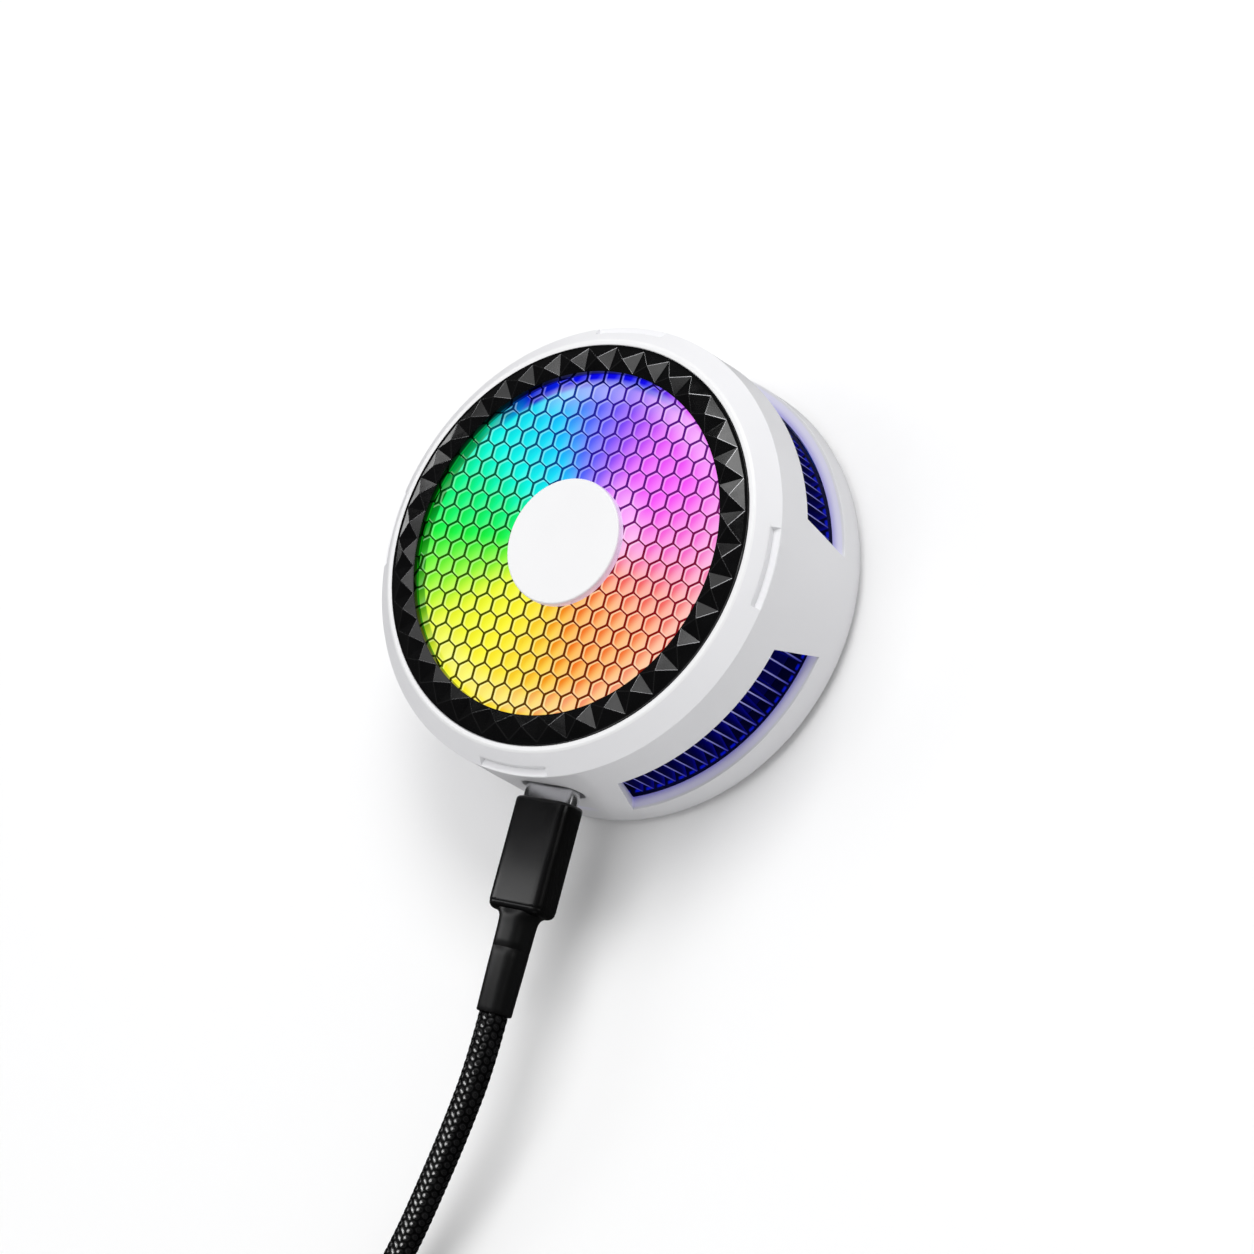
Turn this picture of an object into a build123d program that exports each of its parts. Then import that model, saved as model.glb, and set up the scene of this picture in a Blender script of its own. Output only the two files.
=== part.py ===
"""Round magnetic phone cooler: drum housing with a studded ring, honeycomb grille, fan,
radial heatsink, thermoelectric module, magnet ring and a braided USB lead.

Millimetres. +Z runs along the drum's axis, away from the phone; z = 0 is the face that
touches the phone; the USB socket faces -Y. The origin is the centre of the contact face.
"""
from build123d import *
import math
import os

os.makedirs("parts", exist_ok=True)

# ------------------------------------------------------------------ driving dimensions
ZB = 23.3                # height of the lip's top face above the contact face
R_LIP_IN, R_LIP_OUT = 27.05, 27.85
R_SHOULDER, Z_SHOULDER = 30.45, 21.15
R_REAR, Z_REAR = 31.25, 2.1
Z_HOUSING_REAR = 0.8
R_HOUSING_IN = 29.3
# side windows
WIN_Z0, WIN_Z1 = 5.7, 14.9
WIN_TOP = (16.3, 67.6)   # degrees from the X axis, at the top edge
WIN_BOT = (12.4, 73.8)   # degrees from the X axis, at the bottom edge
# notches in the chamfer
NOTCH_R, NOTCH_Z, NOTCH_HALF = 29.4, 21.0, 10.0
# stud ring
STUDS = 38
STUD_PHASE = 23.3        # a valley between two studs, degrees
R_RING_OUT, Z_RING_TOP = 27.0, ZB + 0.35
R_STUD_OUT, R_STUD_IN = 26.75, 23.3
Z_STUD_IN = ZB + 0.75
R_APEX, Z_APEX = 24.85, ZB + 1.32
# grille
Z_GRILLE = ZB - 0.5
T_GRILLE = 0.6
HEX_PITCH, HEX_WEB = 2.653, 0.30
R_CAP, Z_CAP = 8.5, ZB + 0.7
# fan
R_DUCT_IN, R_DUCT_OUT = 23.0, 24.0
R_BLADE, R_HUB = 22.4, 9.0
BLADES = 11
Z_BLADE0, Z_BLADE1 = 15.9, 21.3
R_SHAFT, R_BEARING, BEARING_GAP = 1.0, 2.2, 0.03
# heatsink
FINS, FIN_T = 108, 0.25
R_FIN_IN, R_FIN_OUT = 13.0, 28.6
Z_FIN0, Z_FIN1 = 5.2, 15.2
Z_BASE0, Z_BASE1 = 7.1, 8.3
# thermoelectric module
TEC_SIZE = 30.0
Z_TEC0, Z_TEC1 = 3.9, 7.1
# socket and plug
Z_PORT = 11.8
PLUG_W, PLUG_T = 8.25, 2.40
SOCK_W, SOCK_T = 8.34, 2.50
Y_FACET_TOP, Z_FACET_TOP = -28.8, 21.1
Y_FACET_LOW, Z_FACET_LOW = -30.0, 11.3
Y_OVERMOULD, L_OVERMOULD = -31.6, 15.0
OVER_W, OVER_T = 9.2, 5.0
L_RELIEF = 13.1
CABLE_D = 3.7
# magnets
R_MAG_IN, R_MAG_OUT, MAGNETS = 22.4, 26.2, 18


def save(shape, name):
    shape.label = name
    export_step(shape, f"parts/{name}.step")


def ring(r0, r1, z0, z1):
    """Plain ring or disc between two radii and two heights."""
    body = Pos(0, 0, z0) * Cylinder(r1, z1 - z0, align=(Align.CENTER, Align.CENTER, Align.MIN))
    if r0 > 0:
        body -= Pos(0, 0, z0) * Cylinder(r0, z1 - z0, align=(Align.CENTER, Align.CENTER, Align.MIN))
    return body


def turned(points):
    """Solid of revolution from (radius, height) points."""
    outline = Polyline(*[(r, 0, z) for r, z in points], close=True)
    return revolve(make_face(outline), Axis.Z, 360)


def block(x0, x1, y0, y1, z0, z1):
    return Pos((x0 + x1) / 2, (y0 + y1) / 2, (z0 + z1) / 2) * Box(x1 - x0, y1 - y0, z1 - z0)


def around(angle):
    return Rot(0, 0, angle)


def prism(bottom, top):
    """Closed solid between two same-sided rings of points."""
    n = len(bottom)
    faces = [Face(Wire.make_polygon([Vector(*q) for q in bottom[::-1]])),
             Face(Wire.make_polygon([Vector(*q) for q in top]))]
    for k in range(n):
        m = (k + 1) % n
        a, b, c, d = bottom[k], bottom[m], top[m], top[k]
        faces.append(Face(Wire.make_polygon([Vector(*a), Vector(*b), Vector(*c)])))
        faces.append(Face(Wire.make_polygon([Vector(*a), Vector(*c), Vector(*d)])))
    return Solid(Shell(faces))


def polar(r, deg, z):
    a = math.radians(deg)
    return (r * math.cos(a), r * math.sin(a), z)


# ------------------------------------------------------------------ main housing
outer_r = lambda z: R_SHOULDER + (R_REAR - R_SHOULDER) * (Z_SHOULDER - z) / (Z_SHOULDER - Z_REAR)
profile = [
    (R_HOUSING_IN, Z_HOUSING_REAR), (R_REAR - 1.1, Z_HOUSING_REAR), (R_REAR - 0.35, 1.15),
    (R_REAR, Z_REAR), (R_SHOULDER, Z_SHOULDER - 0.18), (R_SHOULDER - 0.14, Z_SHOULDER),
    (R_LIP_OUT + 0.05, ZB), (R_LIP_OUT + 0.05, 22.2), (26.0, 22.2), (26.0, 21.3),
    (28.2, 21.3), (R_HOUSING_IN, 20.2),
]
housing = turned(profile)
# block behind the port facet
behind = block(-9.5, 9.5, -30.2, -27.4, 8.6, 20.6)
behind &= ring(0, 30.0, 5, 21)
housing += behind
# screw bosses inside the wall
BOSS_R = 28.0
BOSSES = (0, 90, 180)
for a in BOSSES:
    boss = Pos(*polar(BOSS_R, a, 2.1)) * Cylinder(1.25, 12.9, align=(Align.CENTER, Align.CENTER, Align.MIN))
    web = around(a) * block(BOSS_R, R_HOUSING_IN + 0.3, -1.2, 1.2, 2.1, 15.0)
    hole = Pos(*polar(BOSS_R, a, 2.1)) * Cylinder(0.62, 9.0, align=(Align.CENTER, Align.CENTER, Align.MIN))
    housing += boss + web
    housing -= hole
# four windows, wider at the bottom
for q in (0, 90, 180, 270):
    lo_t, hi_t = WIN_TOP
    lo_b, hi_b = WIN_BOT
    if q in (90, 270):
        lo_t, hi_t = 90 - WIN_TOP[1], 90 - WIN_TOP[0]
        lo_b, hi_b = 90 - WIN_BOT[1], 90 - WIN_BOT[0]
    n = 10
    bt = [lo_b + (hi_b - lo_b) * k / n for k in range(n + 1)]
    tp = [lo_t + (hi_t - lo_t) * k / n for k in range(n + 1)]
    bottom = [polar(36, q + a, WIN_Z0) for a in bt] + [polar(28.9, q + a, WIN_Z0) for a in bt[::-1]]
    top = [polar(36, q + a, WIN_Z1) for a in tp] + [polar(28.9, q + a, WIN_Z1) for a in tp[::-1]]
    housing -= prism(bottom, top)
# notches in the chamfer's outer edge
for a in (0, 90, 180, 270):
    sector = make_face(Polyline((NOTCH_R, 0, NOTCH_Z), (34, 0, NOTCH_Z), (34, 0, 24), (NOTCH_R, 0, 24), close=True))
    housing -= around(a - NOTCH_HALF) * revolve(sector, Axis.Z, 2 * NOTCH_HALF)
# sloping facet above and round the socket
slope = (Y_FACET_LOW - Y_FACET_TOP) / (Z_FACET_TOP - Z_FACET_LOW)
y_at = lambda z: Y_FACET_TOP + (Z_FACET_TOP - z) * slope
zf0, zf1 = 1.0, 20.62
facet = prism([(-15, y_at(zf0), zf0), (-15, -36, zf0), (15, -36, zf0), (15, y_at(zf0), zf0)],
              [(-15, y_at(zf1), zf1), (-15, -36, zf1), (15, -36, zf1), (15, y_at(zf1), zf1)])
housing -= facet
# oval recess and opening for the socket
def pill(w, t, length):
    """Bar of pill-shaped section, w by t, along Y from 0 to -length."""
    sk = Plane.XZ * SlotOverall(w, t)
    return extrude(sk, length, dir=(0, -1, 0))
housing -= Pos(0, -29.15, Z_PORT) * pill(9.4, 3.9, 3)
housing -= Pos(0, -26, Z_PORT) * pill(SOCK_W + 0.82, SOCK_T + 0.82, 6)
save(housing, "main_housing")

# ------------------------------------------------------------------ lip, stud ring, grille, cap
lip = turned([(R_LIP_IN, 22.2), (R_LIP_OUT, 22.2), (R_LIP_OUT, ZB - 0.02), (R_LIP_OUT - 0.18, ZB + 0.10),
              (R_LIP_IN + 0.18, ZB + 0.10), (R_LIP_IN, ZB)])
save(lip, "bezel_lip")

studs = turned([(R_STUD_IN, Z_GRILLE), (25.9, Z_GRILLE), (25.9, 22.2), (R_RING_OUT, 22.2),
                (R_RING_OUT, Z_RING_TOP - 0.05), (R_RING_OUT - 0.05, Z_RING_TOP), (R_STUD_OUT, Z_RING_TOP),
                (R_STUD_IN, Z_STUD_IN)])
half = 180 / STUDS
one = None
sink = 0.25
for k in range(STUDS):
    a0 = STUD_PHASE + 360 / STUDS * k
    a1, am = a0 + 2 * half, a0 + half
    base = [polar(R_STUD_IN, a0, Z_STUD_IN), polar(R_STUD_OUT, a0, Z_RING_TOP),
            polar(R_STUD_OUT, a1, Z_RING_TOP), polar(R_STUD_IN, a1, Z_STUD_IN)]
    foot = [(x, y, z - sink) for x, y, z in base]
    apex = Vector(*polar(R_APEX, am, Z_APEX))
    b = [Vector(*q) for q in base]
    f = [Vector(*q) for q in foot]
    tri = lambda *pts: Face(Wire.make_polygon(list(pts)))
    faces = [tri(f[0], f[1], f[2]), tri(f[0], f[2], f[3])]
    for i in range(4):
        j = (i + 1) % 4
        faces += [tri(f[i], f[j], b[j]), tri(f[i], b[j], b[i]), tri(b[i], b[j], apex)]
    stud = Solid(Shell(faces))
    studs += stud
save(studs, "stud_ring")

cells = []
hex_r = (HEX_PITCH - HEX_WEB) / math.sqrt(3)
for j in range(-14, 15):
    for i in range(-20, 21):
        x = HEX_PITCH * (i + j / 2)
        y = HEX_PITCH * j * math.sqrt(3) / 2
        if 7.3 < math.hypot(x, y) < 24.3:
            cells.append(Wire.make_polygon(
                [Vector(x + hex_r * math.sin(math.radians(60 * k)), y + hex_r * math.cos(math.radians(60 * k)), Z_GRILLE - T_GRILLE)
                 for k in range(6)]))
rim = Wire.make_circle(25.8, Plane.XY.offset(Z_GRILLE - T_GRILLE))
# cells near the clips stay closed so that the cap can hold on the plate
plate = Face(rim, cells)
grille = extrude(plate, T_GRILLE, dir=(0, 0, 1))
for a in (30, 150, 270):
    grille -= Pos(*polar(4.2, a, 20)) * Cylinder(0.82, 8)
save(grille, "honeycomb_grille")

cap = turned([(0, Z_GRILLE), (R_CAP, Z_GRILLE), (R_CAP, Z_CAP - 0.22), (R_CAP - 0.07, Z_CAP - 0.07),
              (R_CAP - 0.22, Z_CAP), (0, Z_CAP)])
for a in (30, 150, 270):
    cap += Pos(*polar(4.2, a, Z_GRILLE - 0.55)) * Cylinder(0.8, 0.6, align=(Align.CENTER, Align.CENTER, Align.MIN))
save(cap, "centre_cap")

# ------------------------------------------------------------------ duct and control board
duct = turned([(R_DUCT_IN, 15.3), (28.9, 15.3), (28.9, 16.3), (R_DUCT_OUT, 16.3), (R_DUCT_OUT, 22.2), (R_DUCT_IN, 22.2)])
for a in BOSSES:
    duct -= Pos(*polar(BOSS_R, a, 15.2)) * Cylinder(1.6, 1.3, align=(Align.CENTER, Align.CENTER, Align.MIN))
duct -= block(-9.8, 9.8, -30.5, -27.0, 15, 17)
for a in (-58, -122):
    duct -= around(a) * block(25.4, 27.2, -1.3, 1.3, 15, 17)
save(duct, "fan_duct")

board = ring(24.2, 28.6, 16.3, 17.3)
for a in BOSSES:
    board -= Pos(*polar(BOSS_R, a, 16)) * Cylinder(1.6, 2)
board -= block(-9.8, 9.8, -30.5, -27.0, 15, 18)
for a in (-58, -122):
    board -= around(a) * block(25.4, 27.2, -1.3, 1.3, 15, 18)
save(board, "control_board")

LEDS = 12
leds = [around(15 + 360 / LEDS * k) * block(24.15, 25.75, -1.0, 1.0, 17.3, 18.9) for k in range(LEDS)]
save(Compound(children=[s.solid() if not isinstance(s, Solid) else s for s in leds]), "rgb_leds")

bits = []
for a, w, d, h in ((45, 4.0, 1.9, 1.0), (60, 2.6, 1.8, 1.6), (75, 1.6, 1.5, 0.8), (105, 3.0, 1.9, 1.4),
                   (128, 5.0, 1.9, 1.1), (150, 2.0, 1.8, 2.0), (195, 3.2, 1.9, 1.2), (218, 1.8, 1.6, 0.9),
                   (235, 2.8, 1.9, 1.8), (315, 4.4, 1.9, 1.1), (335, 2.2, 1.8, 1.4)):
    bits.append((around(a) * block(26.45, 26.45 + d, -w / 2, w / 2, 17.3, 17.3 + h)).solid())
save(Compound(children=bits), "board_components")

# ------------------------------------------------------------------ motor and impeller
motor_base = turned([(0, Z_BASE1), (11.6, Z_BASE1), (11.6, 9.3), (3.2, 9.3), (3.2, 18.2), (R_BEARING, 18.2), (R_BEARING, 9.2), (0, 9.2)])
for a in (60, 180, 300):
    motor_base -= Pos(*polar(10.2, a, 8)) * Cylinder(0.55, 3)
save(motor_base, "motor_base")

m_screws = []
for a in (60, 180, 300):
    s = Pos(*polar(10.2, a, 9.3)) * Cylinder(0.95, 0.6, align=(Align.CENTER, Align.CENTER, Align.MIN))
    s += Pos(*polar(10.2, a, 7.5)) * Cylinder(0.5, 1.9, align=(Align.CENTER, Align.CENTER, Align.MIN))
    s -= Pos(*polar(10.2, a, 9.6)) * Box(1.1, 0.22, 0.7)
    s -= Pos(*polar(10.2, a, 9.6)) * Box(0.22, 1.1, 0.7)
    m_screws.append(s.solid())
save(Compound(children=m_screws), "motor_base_screws")

save(ring(R_SHAFT + BEARING_GAP, R_BEARING, 10.2, 18.2), "bearing_sleeve")

shaft = Pos(0, 0, 9.75) * Cylinder(R_SHAFT, 10.85, align=(Align.CENTER, Align.CENTER, Align.MIN))
save(shaft, "rotor_shaft")

stator = ring(3.2, 4.4, 12.0, 15.2)
for k in range(6):
    stator += around(60 * k) * block(4.2, 6.2, -0.6, 0.6, 12.4, 14.8)
    tip = ring(6.0, 6.55, 12.2, 15.0) & (around(60 * k) * block(5.5, 7, -2.2, 2.2, 12, 15.4))
    stator += tip
save(stator, "stator_core")
coils = []
for k in range(6):
    c = block(4.5, 5.8, -1.25, 1.25, 11.8, 15.4) - block(4.4, 6.1, -0.6, 0.6, 12.4, 14.8)
    coils.append((around(60 * k) * c).solid())
save(Compound(children=coils), "stator_coils")

m_board = ring(3.2, 7.6, 9.9, 10.6) - block(4.6, 6.6, 3.0, 6.0, 9, 11)
save(m_board, "motor_board")

# rotor: hub cup, blades, steel cup and magnet
save(ring(6.95, 7.75, 11.2, 16.4), "rotor_magnet")
yoke = turned([(7.75, 11.0), (8.15, 11.0), (8.15, 17.2), (1.9, 17.2), (1.9, 16.8), (7.75, 16.8)])
yoke -= ring(0, 3.75, 16, 18)
save(yoke, "rotor_yoke")

hub = turned([(8.15, 10.95), (R_HUB, 10.95), (R_HUB, 20.9), (R_HUB - 0.5, 21.3), (0, 21.3), (0, 20.6),
              (1.0, 20.6), (1.0, 18.9), (3.8, 18.9), (3.8, 17.2), (8.15, 17.2)])

def blade_section(r, ang, chord_h, chord_t, lean, thick):
    """Aerofoil-like strip on the plane x = r; spans chord_t sideways and chord_h upwards."""
    pts = []
    n = 8
    for k in range(n + 1):
        u = k / n
        y = (u - 0.5) * chord_t + lean
        z = Z_BLADE0 + 0.1 + (chord_h - 0.2) * (u ** 0.85)
        pts.append((y, z))
    up, dn = [], []
    for k, (y, z) in enumerate(pts):
        a, b = pts[max(k - 1, 0)], pts[min(k + 1, n)]
        t = math.atan2(b[1] - a[1], b[0] - a[0])
        w = thick / 2 * (0.55 + 0.45 * math.sin(math.pi * k / n))
        up.append((y - math.sin(t) * w, z + math.cos(t) * w))
        dn.append((y + math.sin(t) * w, z - math.cos(t) * w))
    loop = up + dn[::-1]
    return Face(Wire.make_polygon([Vector(r, y, z) for y, z in loop]))

CH = Z_BLADE1 - Z_BLADE0
sections = [blade_section(6.5, 0, CH, 8.8, 0.0, 1.0),
            blade_section(15.5, 0, CH, 13.4, 0.9, 0.9),
            blade_section(23.6, 0, CH, 18.0, 2.6, 0.8)]
blade = Solid.make_loft([s.outer_wire() for s in sections], True)
keep = ring(8.2, R_BLADE, Z_BLADE0 - 0.6, Z_BLADE1)
blade = blade & keep
impeller = hub
for k in range(BLADES):
    impeller += around(360 / BLADES * k) * blade
save(impeller, "impeller")

# ------------------------------------------------------------------ heatsink
sink_body = ring(0, 21.6, Z_BASE0, Z_BASE1)
ear = make_face(Polyline((21.4, 0, Z_BASE0), (24.6, 0, Z_BASE0), (24.6, 0, Z_BASE1), (21.4, 0, Z_BASE1), close=True))
for a in (270 - 27.5, 270 + 16.5):
    sink_body += around(a) * revolve(ear, Axis.Z, 11.0)
# fins: one comb profile on the base, a deeper one outside it
fin_list = []
for k in range(FINS):
    a = 360 / FINS * (k + 0.5)
    w = (a + 360) % 360
    def near(c, h):
        return abs((w - c + 180) % 360 - 180) < h
    if near(270, 17.0):
        continue
    if near(270, 26.5):
        # beside the socket: short fins on the base's ears, stepped under the leads
        low = block(23.6, 27.4, -FIN_T / 2, FIN_T / 2, Z_FIN0, 11.6)
        tall = block(27.25, R_FIN_OUT, -FIN_T / 2, FIN_T / 2, Z_FIN0, Z_FIN1)
        fin_list.append(around(a) * (low + tall))
        continue
    r_out = R_FIN_OUT
    if near(0, 5.2) or near(90, 5.2) or near(180, 5.2):
        r_out = 25.9
    inner = block(R_FIN_IN, 21.6, -FIN_T / 2, FIN_T / 2, Z_BASE1 - 0.05, Z_FIN1)
    outer = block(21.5, r_out, -FIN_T / 2, FIN_T / 2, Z_FIN0, Z_FIN1)
    fin_list.append(around(a) * (inner + outer))
sink_body = sink_body.fuse(*[f.solid() if not isinstance(f, Solid) else f for f in fin_list])
for a in (0, 90, 180, 270):
    sink_body -= Pos(*polar(18.8, a, 6.9)) * Cylinder(0.65, 1.5, align=(Align.CENTER, Align.CENTER, Align.MIN))
for a in (60, 180, 300):
    sink_body -= Pos(*polar(10.2, a, 7.3)) * Cylinder(0.5, 2, align=(Align.CENTER, Align.CENTER, Align.MIN))
save(sink_body, "heatsink")

# ------------------------------------------------------------------ thermoelectric module
h = TEC_SIZE / 2
save(block(-h, h, -h, h, Z_TEC0, Z_TEC0 + 0.6), "peltier_cold_plate")
save(block(-h, h, -h, h, Z_TEC1 - 0.6, Z_TEC1), "peltier_hot_plate")
pellets = []
n = 8
pitch = (TEC_SIZE - 3.0) / n
for i in range(n):
    for j in range(n):
        x = -TEC_SIZE / 2 + 1.5 + pitch * (i + 0.5)
        y = -TEC_SIZE / 2 + 1.5 + pitch * (j + 0.5)
        pellets.append(Pos(x, y, (Z_TEC0 + Z_TEC1) / 2) * Box(1.6, 1.6, Z_TEC1 - Z_TEC0 - 1.2))
save(Compound(children=pellets), "peltier_elements")

foam = ring(0, 21.4, Z_TEC0, Z_TEC1) - block(-15.05, 15.05, -15.05, 15.05, 3, 8)
foam_parts = []
for a in (0, 90, 180, 270):
    foam -= Pos(*polar(18.8, a, 3)) * Cylinder(0.75, 9)
foam -= block(-3.4, 3.4, -22, -15, 4.6, 8)
save(foam, "insulation_ring")

plate_c = turned([(0, 0), (17.0, 0), (17.2, 0.2), (17.2, 2.0), (21.2, 2.0), (21.2, Z_TEC0), (0, Z_TEC0)])
for a in (0, 90, 180, 270):
    plate_c -= Pos(*polar(18.8, a, 1.9)) * Cylinder(1.35, 1.0, align=(Align.CENTER, Align.CENTER, Align.MIN))
    plate_c -= Pos(*polar(18.8, a, 1.9)) * Cylinder(0.65, 3.0, align=(Align.CENTER, Align.CENTER, Align.MIN))
save(plate_c, "cold_plate")
c_screws = []
for a in (0, 90, 180, 270):
    s = Pos(*polar(18.8, a, 2.2)) * Cylinder(1.2, 0.7, align=(Align.CENTER, Align.CENTER, Align.MIN))
    s += Pos(*polar(18.8, a, 2.85)) * Cylinder(0.6, 5.2, align=(Align.CENTER, Align.CENTER, Align.MIN))
    c_screws.append(s.solid())
save(Compound(children=c_screws), "clamp_screws")

# ------------------------------------------------------------------ rear cover and magnets
rear = turned([(17.4, 0.8), (29.2, 0.8), (29.2, 2.0), (26.7, 2.0), (26.7, 4.2), (26.25, 4.2), (26.25, 2.0),
               (22.3, 2.0), (22.3, 3.8), (21.5, 3.8), (21.5, 2.0), (17.4, 2.0)])
for a in BOSSES:
    rear -= Pos(*polar(BOSS_R, a, 0.5)) * Cylinder(0.7, 2.5, align=(Align.CENTER, Align.CENTER, Align.MIN))
    rear -= Pos(*polar(BOSS_R, a, 0.5)) * Cylinder(1.1, 1.0, align=(Align.CENTER, Align.CENTER, Align.MIN))
save(rear, "rear_cover")
r_screws = []
for a in BOSSES:
    s = Pos(*polar(BOSS_R, a, 0.85)) * Cylinder(1.05, 0.6, align=(Align.CENTER, Align.CENTER, Align.MIN))
    s += Pos(*polar(BOSS_R, a, 1.4)) * Cylinder(0.6, 6.6, align=(Align.CENTER, Align.CENTER, Align.MIN))
    r_screws.append(s.solid())
save(Compound(children=r_screws), "rear_screws")

mags = []
step = 360 / MAGNETS
seg = make_face(Polyline((R_MAG_IN, 0, 2.0), (R_MAG_OUT, 0, 2.0), (R_MAG_OUT, 0, 3.6), (R_MAG_IN, 0, 3.6), close=True))
for k in range(MAGNETS):
    mags.append((around(step * k + 1.0) * revolve(seg, Axis.Z, step - 2.0)).solid())
save(Compound(children=mags), "magnet_segments")
save(ring(R_MAG_IN, R_MAG_OUT, 3.6, 4.1), "magnet_yoke")
save(turned([(21.0, 0.0), (28.7, 0.0), (29.0, 0.3), (29.0, 0.8), (20.7, 0.8), (20.7, 0.3)]), "grip_pad")

light = ring(26.3, 28.9, 4.2, 4.95)
for a in BOSSES:
    light -= Pos(*polar(BOSS_R, a, 4)) * Cylinder(1.5, 2)
    light -= around(a) * block(BOSS_R - 0.2, 30, -1.4, 1.4, 4, 5.2)
light_solids = light.solids()
save(Compound(children=light_solids) if len(light_solids) > 1 else light, "vent_light_ring")
blue = [(around(a) * block(27.3, 28.6, -0.9, 0.9, 3.2, 4.2)).solid() for a in (45, 135, 225, 315)]
save(Compound(children=blue), "blue_leds")

# ------------------------------------------------------------------ USB socket
def tube_pill(w, t, wall, y0, y1):
    """Pill-section tube along Y from y0 (outer end) to y1 (inner end)."""
    outer = Pos(0, y1, Z_PORT) * pill(w + 2 * wall, t + 2 * wall, y1 - y0)
    inner = Pos(0, y1 + 0.1, Z_PORT) * pill(w, t, y1 - y0 + 0.2)
    return outer - inner

Y_SOCK_OUT, Y_SOCK_IN = -29.15, -22.2
socket = tube_pill(SOCK_W, SOCK_T, 0.33, Y_SOCK_OUT, Y_SOCK_IN)
socket += Pos(0, Y_SOCK_IN + 0.4, Z_PORT) * pill(SOCK_W + 0.66, SOCK_T + 0.66, 0.4)
save(socket, "usb_socket_shell")
tongue = block(-3.3, 3.3, Y_SOCK_OUT + 1.2, Y_SOCK_IN, Z_PORT - 0.33, Z_PORT + 0.33)
save(tongue, "usb_socket_tongue")
Z_SOCK0 = Z_PORT - SOCK_T / 2 - 0.33
usb_board = block(-7.0, 7.0, -27.3, -18.6, Z_SOCK0 - 0.8, Z_SOCK0)
save(usb_board, "usb_board")

# leads that stay inside the drum
def wire(points, radius, dia):
    path = FilletPolyline(*points, radius=radius)
    start = Plane(origin=path @ 0, z_dir=path % 0)
    return sweep(start * Circle(dia / 2), path=path)

leads = []
for s in (-1, 1):
    pts = [(s * 2.0, -15.02, 5.5), (s * 2.0, -19.6, 5.5), (s * 3.2, -22.6, 6.9), (s * 3.2, -22.6, 9.34)]
    leads.append(wire(pts, 1.3, 1.1).solid())
save(Compound(children=leads), "peltier_leads")
b_leads = []
for s in (-1, 1):
    x = s * 5.6
    pts = [(x, -21.5, Z_SOCK0 + 0.02), (x, -21.5, 12.9), (s * 8.2, -23.4, 14.4), (s * 13.7, -22.6, 14.6), (s * 13.93, -22.3, 16.29)]
    b_leads.append(wire(pts[:3] + [(s * 12.2, -23.7, 14.2)], 1.2, 0.9).solid())
save(Compound(children=b_leads), "board_leads")

# ------------------------------------------------------------------ plug on the lead
plug_shell = tube_pill(PLUG_W - 0.6, PLUG_T - 0.6, 0.3, Y_OVERMOULD, Y_OVERMOULD + 9.0)
save(plug_shell, "plug_shell")
insert = Pos(0, Y_OVERMOULD + 3.2, Z_PORT) * pill(PLUG_W - 0.6, PLUG_T - 0.6, 3.2)
save(insert, "plug_insert")

def rounded_bar(w, t, r, y0, length, z=Z_PORT, x=0.0):
    sk = Plane.XZ * RectangleRounded(w, t, r)
    return Pos(x, y0, z) * extrude(sk, length, dir=(0, -1, 0))

over = rounded_bar(OVER_W, OVER_T, 2.1, Y_OVERMOULD, L_OVERMOULD)
over = fillet(over.edges().filter_by_position(Axis.Y, Y_OVERMOULD - L_OVERMOULD - 0.01, Y_OVERMOULD - L_OVERMOULD + 0.01), 0.7)
over = chamfer(over.edges().filter_by_position(Axis.Y, Y_OVERMOULD - 0.01, Y_OVERMOULD + 0.01), 0.35)
save(over, "plug_overmould")
Y_NECK = Y_OVERMOULD - L_OVERMOULD
Y_RELIEF_END = Y_NECK - L_RELIEF
neck = Plane((0, Y_NECK, Z_PORT), x_dir=(1, 0, 0), z_dir=(0, -1, 0))
relief = loft([neck * Circle(2.5), neck.offset(L_RELIEF) * Circle(2.3)])
save(relief, "strain_relief")

# ------------------------------------------------------------------ cable
RC = CABLE_D / 2
Z_FLOOR = RC + 0.5           # the coil rests on its tie
route = [
    (0.0, Y_RELIEF_END, Z_PORT), (0.0, -66.2, Z_PORT), (-1.5, -73.2, 10.9), (-4.0, -80.6, 9.2),
    (-8.0, -91.0, 6.6), (-13.2, -101.6, 4.3), (-18.6, -112.4, 2.75), (-22.2, -124.0, Z_FLOOR),
]
heading = math.atan2(route[-1][1] - route[-2][1], route[-1][0] - route[-2][0])
turn_in = 6.0
end = (route[-1][0] + 11.0 * math.cos(heading + math.radians(turn_in)),
       route[-1][1] + 11.0 * math.sin(heading + math.radians(turn_in)), Z_FLOOR)
route.append(end)
head_end = heading + math.radians(turn_in)


def corner_radii(points, label):
    radii = []
    for a, b, c in zip(points, points[1:], points[2:]):
        u, v = Vector(*b) - Vector(*a), Vector(*c) - Vector(*b)
        turn = u.get_angle(v)
        radii.append(0.45 * min(u.length, v.length) / math.tan(math.radians(turn) / 2))
    print(label, "radii", [round(r, 1) for r in radii])
    return radii


def cable(points, label):
    path = FilletPolyline(*points, radius=corner_radii(points, label))
    start = Plane(origin=path @ 0, z_dir=path % 0)
    tube = sweep(start * Circle(RC), path=path)
    print(label, "length", round(path.length, 1), "volume ratio", round(tube.volume / (math.pi * RC ** 2 * path.length), 4))
    return tube, path


run, run_path = cable(route, "cable_run")
save(run, "cable_run")

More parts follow.
